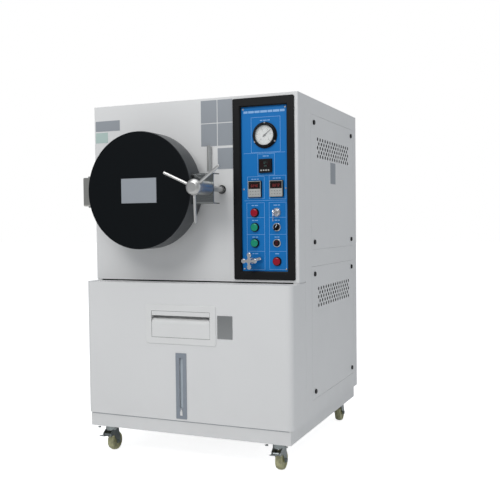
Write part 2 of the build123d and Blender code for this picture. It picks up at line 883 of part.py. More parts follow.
# Hinge pin with a head below and above the arm
with BuildPart() as hinge_pin:
    with BuildSketch(Plane.XY.offset(arm_low - seat_gap)):
        with Locations((pivot_x, depth(-pivot_out))):
            Circle(pin_radius)
    extrude(amount=arm_height + 2 * seat_gap)
    for head_z in (arm_low - seat_gap - pin_head_height, arm_low + arm_height + seat_gap):
        with BuildSketch(Plane.XY.offset(head_z)):
            with Locations((pivot_x, depth(-pivot_out))):
                Circle(pin_head_radius)
        extrude(amount=pin_head_height)
write(hinge_pin, "hinge_pin")

def lever_plane(turn):
    """Plane at the bottom of a lever's socket in the hub, facing out along the lever."""
    angle = radians(lever_first_angle + turn * 360 / lever_count)
    lean = radians(lever_lean)
    along = Vector(cos(angle) * cos(lean), -sin(lean), sin(angle) * cos(lean))
    return Plane(origin=Vector(lock_x, depth(-hub_out), lock_z) + along * lever_socket, z_dir=along)


# Lock hub: a turned ball with three lever sockets, and the sleeve behind it
with BuildPart() as lock_hub:
    with BuildSketch(Plane.XY.offset(lock_z)):
        with BuildLine():
            hub_front = depth(-hub_out - hub_half)
            hub_back = depth(-hub_out + hub_half)
            sleeve_back = depth(-arm_web_out - seat_gap)
            Line((lock_x, hub_front), (lock_x + hub_radius - hub_edge, hub_front))
            ThreePointArc(
                (lock_x + hub_radius - hub_edge, hub_front),
                (lock_x + hub_radius - hub_edge + hub_edge * sin(radians(45)),
                 depth(-hub_out - hub_half * sin(radians(45)))),
                (lock_x + hub_radius, depth(-hub_out)),
            )
            Line((lock_x + hub_radius, depth(-hub_out)), (lock_x + sleeve_radius, hub_back))
            Line((lock_x + sleeve_radius, hub_back), (lock_x + sleeve_radius, sleeve_back))
            Line((lock_x + sleeve_radius, sleeve_back), (lock_x, sleeve_back))
            Line((lock_x, sleeve_back), (lock_x, hub_front))
        make_face()
    revolve(axis=Axis((lock_x, 0, lock_z), (0, 1, 0)))
    for turn in range(lever_count):
        with BuildSketch(lever_plane(turn)):
            Circle(lever_radius + running_fit)
        extrude(amount=hub_radius, mode=Mode.SUBTRACT)
write(lock_hub, "lock_hub")

# Three round levers screwed into the hub
with BuildPart() as lock_levers:
    for turn in range(lever_count):
        with BuildSketch(lever_plane(turn)):
            Circle(lever_radius)
        extrude(amount=lever_length - lever_socket)
    fillet(lock_levers.edges().filter_by(GeomType.CIRCLE).group_by(
        lambda edge: round((edge.arc_center - Vector(lock_x, depth(-hub_out), lock_z)).length, 1)
    )[-1], lever_tip)
write(lock_levers, "lock_levers")

# Lock spindle: shaft, neck and the T-shaped head that turns behind the keeper
with BuildPart() as lock_spindle:
    with BuildSketch(facing(shaft_end_out)):
        with Locations((lock_x, lock_z)):
            Circle(shaft_radius)
    extrude(amount=arm_web_out + seat_gap - shaft_end_out)
    head_in = sheet + keeper_thickness + keeper_gap
    with BuildSketch(facing(-head_in)):
        with Locations((lock_x, lock_z)):
            Circle(bolt_neck_radius)
    extrude(amount=head_in + shaft_end_out)
    with BuildSketch(facing(-head_in)):
        with Locations((lock_x, lock_z)):
            Rectangle(bolt_head_length, bolt_head_width)
    extrude(amount=-bolt_head_thickness)
write(lock_spindle, "lock_spindle")

# Black collar round the lock's hole
with BuildPart() as lock_collar:
    with BuildSketch(facing(0)):
        with Locations((lock_x, lock_z)):
            Circle(collar_radius)
            Circle(collar_bore, mode=Mode.SUBTRACT)
    extrude(amount=collar_height)
write(lock_collar, "lock_collar")

# Guide tube welded to two blocks on the panel
with BuildPart() as guide_tube:
    with BuildSketch(Plane.XY.offset(guide_low)):
        with Locations((guide_x, depth(-guide_out))):
            Circle(guide_radius)
    extrude(amount=guide_top - guide_low)
    for block_z in (guide_low + guide_block, guide_top - 2 * guide_block):
        with BuildSketch(Plane.XY.offset(block_z)):
            with Locations((guide_x, depth(-guide_out / 2))):
                Rectangle(guide_block, guide_out)
        extrude(amount=guide_block)
    with BuildSketch(Plane.XY.offset(guide_low)):
        with Locations((guide_x, depth(-guide_out))):
            Circle(guide_bore)
    extrude(amount=guide_top - guide_low, mode=Mode.SUBTRACT)
write(guide_tube, "guide_tube")

# Console frame: a moulded surround with a bevelled window
with BuildPart() as panel_frame:
    with BuildSketch(facing(0)):
        with Locations((console_x, console_z)):
            RectangleRounded(frame_width, frame_height, frame_corner)
    extrude(amount=frame_out)
    with BuildSketch(facing(-frame_in)):
        with Locations((console_x, console_z)):
            Rectangle(window_width + 2 * frame_rim, window_height + 2 * frame_rim)
    extrude(amount=frame_in)
    with BuildSketch(facing(-frame_in)):
        with Locations((console_x, console_z)):
            Rectangle(window_width, window_height)
    extrude(amount=frame_in + frame_out, mode=Mode.SUBTRACT)
    front_edges = panel_frame.faces().sort_by(Axis.Y)[0].edges()
    chamfer(front_edges.filter_by(GeomType.LINE).filter_by(
        lambda edge: abs(edge.center().X - console_x) < window_width / 2 + 1
        and abs(edge.center().Z - console_z) < window_height / 2 + 1
    ), frame_bevel)
write(panel_frame, "panel_frame")

# Control plate behind the window
with BuildPart() as control_plate:
    with BuildSketch(facing(-plate_in)):
        with Locations((console_x, console_z)):
            Rectangle(window_width + 2 * frame_rim, window_height + 2 * frame_rim)
    extrude(amount=-plate_sheet)
write(control_plate, "control_plate")

# Six small screws on the control plate
with BuildPart() as plate_screws:
    with BuildSketch(facing(-plate_in)):
        with Locations((console_x, console_z)):
            with GridLocations(
                window_width - 2 * plate_screw_inset_x, window_height / 2 - plate_screw_inset_z, 2, 3
            ):
                Circle(plate_screw_radius)
    extrude(amount=plate_screw_height)
    chamfer(plate_screws.faces().group_by(Axis.Y)[0].edges(), plate_screw_height / 3)
write(plate_screws, "plate_screws")

# Pressure gauge: flanged case, dial, glass and needle
with BuildPart() as gauge_case:
    with BuildSketch(facing(-plate_in)):
        with Locations((gauge_x, gauge_z)):
            Circle(gauge_radius)
    extrude(amount=gauge_flange)
    with BuildSketch(facing(-plate_in)):
        with Locations((gauge_x, gauge_z)):
            Circle(gauge_bezel_radius)
    extrude(amount=gauge_bezel_out)
    chamfer(gauge_case.faces().sort_by(Axis.Y)[0].edges(), gauge_edge)
    with BuildSketch(facing(dial_in - plate_in)):
        with Locations((gauge_x, gauge_z)):
            Circle(dial_radius)
    extrude(amount=gauge_bezel_out, mode=Mode.SUBTRACT)
    with BuildSketch(facing(gauge_flange - plate_in)):
        with Locations((gauge_x, gauge_z)):
            with PolarLocations(gauge_screw_ring, 3, start_angle=90):
                Circle(gauge_screw_radius)
    extrude(amount=gauge_screw_height)
write(gauge_case, "gauge_case")

with BuildPart() as gauge_dial:
    with BuildSketch(facing(dial_in - plate_in)):
        with Locations((gauge_x, gauge_z)):
            Circle(dial_radius)
    extrude(amount=dial_thickness)
    with BuildSketch(facing(dial_in + dial_thickness - plate_in)):
        with Locations((gauge_x, gauge_z)):
            Circle(axle_radius / 4)
    extrude(amount=needle_width)
write(gauge_dial, "gauge_dial")

with BuildPart() as gauge_glass:
    with BuildSketch(facing(gauge_bezel_out - glass_in - plate_in)):
        with Locations((gauge_x, gauge_z)):
            Circle(dial_radius)
    extrude(amount=-glass_thickness)
write(gauge_glass, "gauge_glass")

needle_floor = dial_in + dial_thickness + 1 - plate_in
with BuildPart() as gauge_needle:
    along = Vector(cos(radians(needle_angle)), 0, sin(radians(needle_angle)))
    needle_plane = Plane(
        origin=(gauge_x, depth(-needle_floor), gauge_z), x_dir=along, z_dir=(0, -1, 0)
    )
    with BuildSketch(needle_plane):
        with BuildLine():
            Polyline(
                (-needle_tail, needle_width),
                (-needle_tail, -needle_width),
                (needle_length, -needle_tip),
                (needle_length, needle_tip),
                close=True,
            )
        make_face()
        Circle(needle_hub_radius)
        Circle(axle_radius / 4 + running_fit, mode=Mode.SUBTRACT)
    extrude(amount=1)
write(gauge_needle, "gauge_needle")


with BuildPart() as temp_controller:
    with BuildSketch(facing(-plate_in)):
        with Locations((controller_x, controller_z)):
            RectangleRounded(controller_size, controller_size, instrument_corner)
    extrude(amount=instrument_out)
    chamfer(temp_controller.faces().sort_by(Axis.Y)[0].edges(), instrument_edge)
    with BuildSketch(facing(instrument_out - plate_in)):
        with Locations((controller_x, controller_z + controller_window_rise)):
            Rectangle(controller_window_width, controller_window_height)
    extrude(amount=-instrument_window_in, mode=Mode.SUBTRACT)
    with BuildSketch(facing(instrument_out - plate_in)):
        with Locations((controller_x, controller_z - controller_key_drop)):
            with GridLocations(controller_key_pitch, 0, 4, 1):
                Rectangle(controller_key_width, controller_key_height)
    extrude(amount=key_cap_height)
write(temp_controller, "temp_controller")

# Two digital timers side by side
timer_places = ((timer_left_x, timer_z), (timer_right_x, timer_z))
with BuildPart() as timers:
    with BuildSketch(facing(-plate_in)):
        with Locations(*timer_places):
            RectangleRounded(timer_width, timer_height, instrument_corner)
    extrude(amount=instrument_out)
    chamfer(timers.faces().group_by(Axis.Y)[0].edges(), instrument_edge)
    for timer_x, timer_mid in timer_places:
        with BuildSketch(facing(instrument_out - plate_in)):
            with Locations((timer_x, timer_mid + timer_window_rise)):
                Rectangle(timer_window_width, timer_window_height)
        extrude(amount=-instrument_window_in, mode=Mode.SUBTRACT)
        with BuildSketch(facing(instrument_out - plate_in)):
            with Locations((timer_x, timer_mid - timer_key_drop)):
                with GridLocations(timer_key_pitch_x, timer_key_pitch_z, 4, 2):
                    Rectangle(timer_key_width, timer_key_height)
        extrude(amount=key_cap_height)
write(timers, "timers")

# Ring bezels of the buttons, the selector and the lamp
bezel_places = (
    (left_column_x, switch_top_z),
    (left_column_x, switch_second_z),
    (left_column_x, switch_third_z),
    (right_column_x, switch_second_z),
    (right_column_x, switch_third_z),
    (right_column_x, lamp_z),
)
with BuildPart() as switch_bezels:
    with BuildSketch(facing(-plate_in)):
        with Locations(*bezel_places):
            Circle(bezel_radius)
            Circle(bezel_bore, mode=Mode.SUBTRACT)
    extrude(amount=bezel_height)
    chamfer(switch_bezels.faces().group_by(Axis.Y)[0].edges(), bezel_edge)
write(switch_bezels, "switch_bezels")

# Push-buttons that travel towards the plate
for button_name, button_z in (
    ("button_red", switch_top_z),
    ("button_green_upper", switch_second_z),
    ("button_green_lower", switch_third_z),
):
    with BuildPart() as button:
        with BuildSketch(facing(button_travel + seat_gap - plate_in)):
            with Locations((left_column_x, button_z)):
                Circle(button_radius)
        extrude(amount=button_out - button_travel)
        fillet(button.faces().sort_by(Axis.Y)[0].edges(), button_edge)
    write(button, button_name)

# Buzzer: a slotted cap in its bezel
with BuildPart() as buzzer:
    with BuildSketch(facing(-plate_in)):
        with Locations((right_column_x, switch_third_z)):
            Circle(bezel_bore)
    extrude(amount=lamp_out)
    fillet(buzzer.faces().sort_by(Axis.Y)[0].edges(), button_edge)
    with BuildSketch(facing(lamp_out - plate_in)):
        with Locations((right_column_x, switch_third_z)):
            with GridLocations(0, buzzer_slot_pitch, 1, 3):
                Rectangle(button_radius, buzzer_slot_height)
    extrude(amount=-buzzer_slot_depth, mode=Mode.SUBTRACT)
write(buzzer, "buzzer")

# Indicator lamp with a domed lens
with BuildPart() as indicator_lamp:
    with BuildSketch(facing(-plate_in)):
        with Locations((right_column_x, lamp_z)):
            Circle(bezel_bore)
    extrude(amount=lamp_out)
    fillet(indicator_lamp.faces().sort_by(Axis.Y)[0].edges(), lamp_out / 2)
write(indicator_lamp, "indicator_lamp")

# Selector: a round base with a raised grip bar
with BuildPart() as selector_knob:
    with BuildSketch(facing(seat_gap - plate_in)):
        with Locations((right_column_x, switch_second_z)):
            Circle(button_radius)
    extrude(amount=knob_base_height)
    grip_plane = Plane(
        origin=(right_column_x, depth(plate_in - seat_gap - knob_base_height), switch_second_z),
        x_dir=(cos(radians(knob_turn)), 0, sin(radians(knob_turn))),
        z_dir=(0, -1, 0),
    )
    with BuildSketch(grip_plane):
        SlotOverall(knob_grip_length, knob_grip_width)
    extrude(amount=knob_grip_height - knob_base_height)
write(selector_knob, "selector_knob")

# Key switch and its key
with BuildPart() as key_switch:
    with BuildSketch(facing(-plate_in)):
        with Locations((right_column_x, switch_top_z)):
            Circle(bezel_radius)
    extrude(amount=bezel_height)
    with BuildSketch(facing(-plate_in)):
        with Locations((right_column_x, switch_top_z)):
            Circle(key_barrel_radius)
    extrude(amount=key_barrel_out)
    chamfer(key_switch.faces().sort_by(Axis.Y)[0].edges(), key_switch_edge)
write(key_switch, "key_switch")

key_root_out = key_barrel_out - plate_in + seat_gap
with BuildPart() as key:
    with BuildSketch(side(right_column_x - key_sheet / 2)):
        with BuildLine():
            Polyline(
                (depth(-key_root_out), switch_top_z + key_blade_half),
                (depth(-key_root_out), switch_top_z - key_blade_half),
                (depth(-key_root_out - key_shank), switch_top_z - key_blade_half),
                (depth(-key_root_out - key_shank), switch_top_z + key_blade_half),
                close=True,
            )
        make_face()
        with Locations((depth(-key_root_out - key_shank - key_bow / 2 + 1), switch_top_z)):
            Circle(key_bow / 2)
        with Locations((depth(-key_root_out - key_shank - key_hole_reach), switch_top_z)):
            Circle(key_hole_radius, mode=Mode.SUBTRACT)
    extrude(amount=key_sheet)
    with BuildSketch(side(right_column_x - key_sheet / 2)):
        tag_z = switch_top_z - key_bow / 2 - tag_height / 2 + tag_lap
        with Locations((depth(-key_root_out - key_shank - tag_reach), tag_z)):
            RectangleRounded(tag_width, tag_height, tag_corner)
    extrude(amount=key_sheet)
write(key, "key")

# Bleed valve: bonnet, stem and a short outlet to the right
with BuildPart() as valve_body:
    with BuildSketch(facing(-plate_in)):
        with Locations((valve_x, valve_z)):
            RegularPolygon(valve_bonnet_radius, hex_sides)
    extrude(amount=valve_bonnet_out / 2)
    with BuildSketch(facing(-plate_in)):
        with Locations((valve_x, valve_z)):
            Circle(valve_neck_radius)
    extrude(amount=valve_bonnet_out)
    with BuildSketch(facing(-plate_in)):
        with Locations((valve_x, valve_z)):
            Circle(valve_stem_radius)
    extrude(amount=valve_stem_out)
    outlet_plane = Plane(
        origin=(valve_x, depth(plate_in - valve_outlet_out), valve_z),
        z_dir=(cos(radians(outlet_turn)), 0, sin(radians(outlet_turn))),
    )
    with BuildSketch(outlet_plane):
        Circle(valve_outlet_radius)
    extrude(amount=valve_outlet_length)
write(valve_body, "valve_body")

# Four-lobed cross handle on the valve's stem
with BuildPart() as valve_handle:
    handle_floor = valve_stem_out - plate_in - handle_thickness
    with BuildSketch(facing(handle_floor)):
        with Locations((valve_x, valve_z)):
            Circle(handle_hub_radius)
            for turn in (0, 90):
                SlotOverall(2 * handle_lobe_ring, handle_spoke_width, rotation=turn)
            with PolarLocations(handle_lobe_ring, 4):
                Circle(handle_lobe_radius)
            Circle(valve_stem_radius + running_fit, mode=Mode.SUBTRACT)
    extrude(amount=handle_thickness)
    handle_rim = valve_handle.faces().sort_by(Axis.Y)[0].edges().filter_by(GeomType.CIRCLE)
    chamfer(handle_rim.group_by(Edge.length)[-1], handle_edge)
    # Cap over the stem's end
    with BuildSketch(facing(valve_stem_out - plate_in + seat_gap)):
        with Locations((valve_x, valve_z)):
            Circle(handle_hub_radius)
    extrude(amount=handle_cap)
    with BuildSketch(facing(handle_floor + handle_thickness / 2)):
        with Locations((valve_x, valve_z)):
            Circle(handle_hub_radius)
            Circle(valve_stem_radius + running_fit, mode=Mode.SUBTRACT)
    extrude(amount=handle_thickness / 2 + seat_gap)
write(valve_handle, "valve_handle")

# Lower front cover: a deep pan with rounded corners, lifted off the posts to the front
with BuildPart() as lower_cover:
    cover_low = plinth_top + seat_gap
    pan_height = cover_top - cover_low
    pull_clearance = 2 * pull_wall + 2 * seat_gap
    pan_length = cover_out + return_depth
    with BuildSketch(Plane.XY.offset(cover_low)) as cover_plan:
        with Locations((0, depth(return_depth - pan_length / 2))):
            Rectangle(body_width, pan_length)
        fillet(cover_plan.vertices().group_by(Axis.Y)[0], cover_edge_radius)
    extrude(amount=pan_height)
    with BuildSketch(Plane.XY.offset(cover_low + sheet)) as cover_hollow:
        with Locations((0, depth(return_depth - (pan_length - sheet) / 2))):
            Rectangle(body_width - 2 * sheet, pan_length - sheet)
        fillet(cover_hollow.vertices().group_by(Axis.Y)[0], cover_edge_radius - sheet)
    extrude(amount=pan_height - 2 * sheet, mode=Mode.SUBTRACT)
    with BuildSketch(Plane.XY.offset(cover_low)):
        with Locations((0, depth((return_depth + sheet) / 2))):
            Rectangle(body_width - 2 * sheet, return_depth - sheet)
    extrude(amount=pan_height, mode=Mode.SUBTRACT)
    with BuildSketch(facing(cover_out)):
        with Locations((pull_x, pull_z)):
            Rectangle(pull_pocket_width + pull_clearance, pull_pocket_height + pull_clearance)
        with Locations((level_x, level_z + level_slot_rise)):
            SlotOverall(level_slot_height, level_slot_width, rotation=90)
    extrude(amount=-sheet, mode=Mode.SUBTRACT)
write(lower_cover, "lower_cover")

# Flush pull: a framed pocket with a finger lip along its top and a scoop that comes forward to a flat face
with BuildPart() as pull_handle:
    with BuildSketch(facing(cover_out)):
        with Locations((pull_x, pull_z)):
            RectangleRounded(pull_frame_width, pull_frame_height, pull_frame_corner)
    extrude(amount=pull_frame_out)
    with BuildSketch(facing(cover_out - pull_pocket_depth)):
        with Locations((pull_x, pull_z)):
            Rectangle(pull_pocket_width + 2 * pull_wall, pull_pocket_height + 2 * pull_wall)
    extrude(amount=pull_pocket_depth)
    chamfer(pull_handle.faces().sort_by(Axis.Y)[0].edges(), pull_frame_out / 2)
    pocket_low = pull_z - pull_pocket_height / 2
    pocket_top = pull_z + pull_pocket_height / 2
    shelf_z = scoop_low + pull_curve
    frame_y = depth(-cover_out - pull_frame_out)
    face_y = frame_y + pull_recess
    lip_y = face_y + pull_lip_thickness
    back_y = depth(pull_pocket_depth - pull_wall - cover_out)
    with BuildSketch(side(pull_x - pull_pocket_width / 2)):
        with BuildLine():
            Polyline(
                (face_y + pull_curve, shelf_z),
                (back_y, shelf_z),
                (back_y, pocket_top),
                (lip_y, pocket_top),
                (lip_y, pocket_top - pull_lip),
                (face_y, pocket_top - pull_lip),
                (face_y, pocket_top),
                (frame_y, pocket_top),
                (frame_y, pocket_low),
                (face_y, pocket_low),
                (face_y, scoop_low),
            )
            ThreePointArc(
                (face_y, scoop_low),
                (face_y + pull_curve * (1 - cos(radians(45))), scoop_low + pull_curve * sin(radians(45))),
                (face_y + pull_curve, shelf_z),
            )
        make_face()
    extrude(amount=pull_pocket_width, mode=Mode.SUBTRACT)
    # The block under the scoop is hollow from behind
    with BuildSketch(side(pull_x - pull_pocket_width / 2)):
        hollow_length = pull_pocket_depth + pull_frame_out - pull_recess - pull_wall
        with Locations((face_y + pull_wall + hollow_length / 2, (pocket_low + scoop_low) / 2)):
            Rectangle(hollow_length, scoop_low - pocket_low)
    extrude(amount=pull_pocket_width, mode=Mode.SUBTRACT)
write(pull_handle, "pull_handle")

# Level plate with its sight slot
with BuildPart() as level_plate:
    with BuildSketch(facing(cover_out)):
        with Locations((level_x, level_z)):
            RectangleRounded(level_plate_width, level_plate_height, level_plate_corner)
        with Locations((level_x, level_z + level_slot_rise)):
            SlotOverall(level_slot_height, level_slot_width, rotation=90, mode=Mode.SUBTRACT)
    extrude(amount=level_plate_sheet)
write(level_plate, "level_plate")

# Pipe stub through the back panel, with its lock nut
with BuildPart() as drain_pipe:
    with BuildSketch(facing(-body_depth - pipe_length)):
        with Locations((pipe_x, pipe_z)):
            Circle(pipe_radius)
            Circle(pipe_bore, mode=Mode.SUBTRACT)
    extrude(amount=pipe_length + 2 * pipe_nut_height)
    with BuildSketch(facing(-body_depth)):
        with Locations((pipe_x, pipe_z)):
            RegularPolygon(pipe_nut_radius, hex_sides)
            Circle(pipe_bore, mode=Mode.SUBTRACT)
    extrude(amount=-pipe_nut_height)
write(drain_pipe, "drain_pipe")

# Caster top plates with their upper races
caster_places = {
    "front_left": (-caster_x, front_caster_y),
    "front_right": (caster_x, front_caster_y),
    "rear_left": (-caster_x, rear_caster_y),
    "rear_right": (caster_x, rear_caster_y),
}
plate_low = caster_height - caster_plate_sheet
race_low = plate_low - race_height
with BuildPart() as caster_plates:
    for x, inside in caster_places.values():
        with BuildSketch(Plane.XY.offset(plate_low)):
            with Locations((x, depth(inside))):
                RectangleRounded(caster_plate_x, caster_plate_y, caster_plate_corner)
                Circle(kingpin_radius + running_fit, mode=Mode.SUBTRACT)
        extrude(amount=caster_plate_sheet)
        with BuildSketch(Plane.XY.offset(race_low)):
            with Locations((x, depth(inside))):
                Circle(race_radius)
                Circle(kingpin_radius + running_fit, mode=Mode.SUBTRACT)
        extrude(amount=race_height)
write(caster_plates, "caster_plates")


def fork_leg(y, braked):
    """Side plate of a fork, drawn in the Y-Z plane and closed round the axle."""
    Polygon(
        (y - crown_front, fork_top_z),
        (y + crown_rear, fork_top_z),
        (y + caster_trail + fork_toe, wheel_radius + fork_toe_lift),
        (y + caster_trail + fork_foot, wheel_radius - fork_foot),
        (y + caster_trail - fork_foot, wheel_radius - fork_foot),
        (y + caster_trail - fork_heel, wheel_radius + fork_heel_lift),
        (y - fork_knee, fork_top_z - fork_waist_drop),
        align=None,
    )
    if braked:
        Polygon(
            (y - crown_front, fork_top_z),
            (y - pedal_pin_forward - brake_ear, pedal_pin_z + brake_ear),
            (y - pedal_pin_forward - brake_ear, pedal_pin_z - brake_ear),
            (y, pedal_pin_z - brake_ear_root),
            (y, fork_top_z),
            align=None,
        )


# Swivel forks, each with its king pin and axle bolt, and the wheels
for place, (x, inside) in caster_places.items():
    y = depth(inside)
    braked = place.startswith("front")
    leg_inner = wheel_width / 2 + fork_gap
    leg_outer = leg_inner + fork_sheet
    with BuildPart() as fork:
        with BuildSketch(Plane.XY.offset(fork_top_z - fork_sheet)):
            with Locations((x, y)):
                Circle(race_radius)
        extrude(amount=race_low - seat_gap - fork_top_z + fork_sheet)
        with BuildSketch(Plane.XY.offset(fork_top_z)):
            with Locations((x, y)):
                Circle(kingpin_radius)
        extrude(amount=caster_height - seat_gap - fork_top_z)
        for hand in (-1, 1):
            with BuildSketch(side(x + hand * leg_inner)):
                fork_leg(y, braked)
            extrude(amount=hand * fork_sheet)
        with BuildSketch(side(x - leg_outer)):
            with Locations((y + caster_trail, wheel_radius)):
                Circle(axle_radius)
        extrude(amount=2 * leg_outer)
        for hand in (-1, 1):
            with BuildSketch(side(x + hand * leg_outer)):
                with Locations((y + caster_trail, wheel_radius)):
                    RegularPolygon(2 * axle_radius, hex_sides)
            extrude(amount=hand * axle_radius)
        if braked:
            with BuildSketch(side(x - leg_inner)):
                with Locations((y - pedal_pin_forward, pedal_pin_z)):
                    Circle(pedal_pin_radius)
            extrude(amount=2 * leg_inner)
    write(fork, f"caster_fork_{place}")

    with BuildPart() as wheel:
        with BuildSketch(Plane.XY.offset(wheel_radius)) as wheel_half:
            with BuildLine():
                inner = wheel_width / 2
                axle_y = y + caster_trail
                Polyline(
                    (x - inner - fork_gap + seat_gap, axle_y + axle_radius + running_fit),
                    (x - inner - fork_gap + seat_gap, axle_y + wheel_boss_radius),
                    (x - inner + wheel_dish, axle_y + wheel_boss_radius),
                    (x - inner + wheel_dish, axle_y + wheel_dish_inner),
                    (x - inner, axle_y + wheel_dish_outer),
                    (x - inner, axle_y + wheel_radius - tread_crown),
                )
                ThreePointArc(
                    (x - inner, axle_y + wheel_radius - tread_crown),
                    (x, axle_y + wheel_radius),
                    (x + inner, axle_y + wheel_radius - tread_crown),
                )
                Polyline(
                    (x + inner, axle_y + wheel_radius - tread_crown),
                    (x + inner, axle_y + wheel_dish_outer),
                    (x + inner - wheel_dish, axle_y + wheel_dish_inner),
                    (x + inner - wheel_dish, axle_y + wheel_boss_radius),
                    (x + inner + fork_gap - seat_gap, axle_y + wheel_boss_radius),
                    (x + inner + fork_gap - seat_gap, axle_y + axle_radius + running_fit),
                    (x - inner - fork_gap + seat_gap, axle_y + axle_radius + running_fit),
                )
            make_face()
        revolve(axis=Axis((x, axle_y, wheel_radius), (1, 0, 0)))
    write(wheel, f"caster_wheel_{place}")

    if braked:
        with BuildPart() as pedal:
            pin_y = y - pedal_pin_forward
            with BuildSketch(side(x - pedal_width / 2)):
                with Locations((pin_y, pedal_pin_z)):
                    Circle(pedal_barrel_radius)
                    Circle(pedal_pin_radius + running_fit, mode=Mode.SUBTRACT)
            extrude(amount=pedal_width)
            with BuildSketch(side(x - pedal_width / 2)):
                with BuildLine():
                    Polyline(
                        (pin_y - pedal_barrel_radius + pedal_lap, pedal_pin_z - pedal_sheet / 2),
                        (pin_y - pedal_length, pedal_pin_z + pedal_rise - pedal_sheet / 2),
                        (pin_y - pedal_length, pedal_pin_z + pedal_rise + pedal_sheet / 2),
                        (pin_y - pedal_barrel_radius + pedal_lap, pedal_pin_z + pedal_sheet / 2),
                        close=True,
                    )
                make_face()
            extrude(amount=pedal_width)
        write(pedal, f"brake_pedal_{place}")
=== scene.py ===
# %% [markdown]
# # Environmental test chamber
# The real object is a pressure chamber on casters: a painted sheet cabinet with a black drum door, a
# three-lever lock and a blue console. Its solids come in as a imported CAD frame. They could be dressed by
# hand in the editor, but a script can be read, changed and run again, so that way was chosen.

# %% Load the frame
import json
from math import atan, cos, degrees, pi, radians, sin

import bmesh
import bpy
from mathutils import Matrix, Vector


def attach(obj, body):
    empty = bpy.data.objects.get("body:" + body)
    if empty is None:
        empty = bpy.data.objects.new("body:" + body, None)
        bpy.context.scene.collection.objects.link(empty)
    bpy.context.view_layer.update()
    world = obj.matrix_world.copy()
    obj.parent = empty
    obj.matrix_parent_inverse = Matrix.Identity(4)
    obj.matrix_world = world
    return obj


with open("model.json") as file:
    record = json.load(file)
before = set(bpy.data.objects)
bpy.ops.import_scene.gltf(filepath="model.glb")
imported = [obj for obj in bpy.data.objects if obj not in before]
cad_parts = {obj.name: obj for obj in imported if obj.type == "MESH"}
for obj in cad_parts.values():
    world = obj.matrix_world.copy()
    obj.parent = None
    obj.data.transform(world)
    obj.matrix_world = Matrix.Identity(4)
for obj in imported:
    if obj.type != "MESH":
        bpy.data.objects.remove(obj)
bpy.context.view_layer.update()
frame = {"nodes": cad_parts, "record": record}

# %% [markdown]
# ## Units and places
# Every place on the cabinet is easiest to measure from its upper front panel, so places are given in
# millimetres as across, out in front of that panel, and up. World coordinates would do the same job, but
# they would hide which face a piece sits on. Centres and faces are read from the CAD nodes, so an added
# piece finds its place by itself.

MM = 0.001
PANEL_Y = -280.0
nodes = frame["nodes"]


# %% Places on the frame
def at(x, out, z):
    """A place given in mm: across, out in front of the upper panel, and up."""
    return Vector((x, PANEL_Y - out, z)) * MM


def extent(name):
    """The low and high corners of a CAD node in mm, to 0.1 mm, as (x, out, z)."""
    corners = [Vector(corner) / MM for corner in nodes[name].bound_box]
    places = [(round(c.x, 1), round(PANEL_Y - c.y, 1), round(c.z, 1)) for c in corners]
    return tuple(map(min, zip(*places))), tuple(map(max, zip(*places)))


def centre(name):
    """Where the middle of a CAD node is, seen from the front: across and up."""
    low, high = extent(name)
    return (low[0] + high[0]) / 2, (low[2] + high[2]) / 2


def front(name):
    """How far out the front face of a CAD node stands."""
    return extent(name)[1][1]


PLATE_OUT = front("control_plate")
COVER_OUT = front("lower_cover")
LEVEL_OUT = front("level_plate")
BACK_OUT = extent("back_panel")[0][1]
print("faces: console", PLATE_OUT, "cover", COVER_OUT, "level plate", LEVEL_OUT, "back", BACK_OUT)

# %% [markdown]
# ## Shader maths
# A material is a graph of nodes, and wiring one by hand takes several lines for each sum. `Value` wraps
# one socket so that a product is written as in plain arithmetic. `Tree` has the single method that makes
# a node, sets it up and feeds it, for a material and for the world alike. `Shader` adds what each
# material here needs: Object coordinates, which stay with a piece when it moves, noise and blends.

# %% Socket wrapper
class Value:
    """A shader socket that multiplies like a number."""

    def __init__(self, shader, socket):
        self.shader = shader
        self.socket = socket

    def __mul__(self, other):
        made = self.shader.node("ShaderNodeMath", [self, other], operation="MULTIPLY")
        return Value(self.shader, made.outputs[0])

    __rmul__ = __mul__

    def ramp(self, low, high, start=0.0, end=1.0):
        """Goes smoothly from start to end as the value goes from low to high."""
        inputs = {"Value": self, "From Min": low, "From Max": high, "To Min": start, "To Max": end}
        made = self.shader.node("ShaderNodeMapRange", inputs, interpolation_type="SMOOTHSTEP")
        return Value(self.shader, made.outputs[0])


# %% Node method
class Tree:
    """A node tree, emptied, with one way to add a node."""

    def __init__(self, tree):
        self.tree = tree
        self.tree.nodes.clear()

    def node(self, kind, inputs=(), **settings):
        """Makes a node, sets its properties and feeds its inputs, by name or in order."""
        made = self.tree.nodes.new(kind)
        for key, value in settings.items():
            setattr(made, key, value)
        pairs = inputs.items() if isinstance(inputs, dict) else enumerate(inputs)
        for key, value in pairs:
            self.feed(made.inputs[key], value)
        return made

    def feed(self, socket, value):
        """Links a Value or a socket to an input, or sets the input's number or colour."""
        if isinstance(value, Value):
            self.tree.links.new(value.socket, socket)
        elif isinstance(value, bpy.types.NodeSocket):
            self.tree.links.new(value, socket)
        elif socket.type == "RGBA":
            socket.default_value = (*value, 1)
        else:
            socket.default_value = value


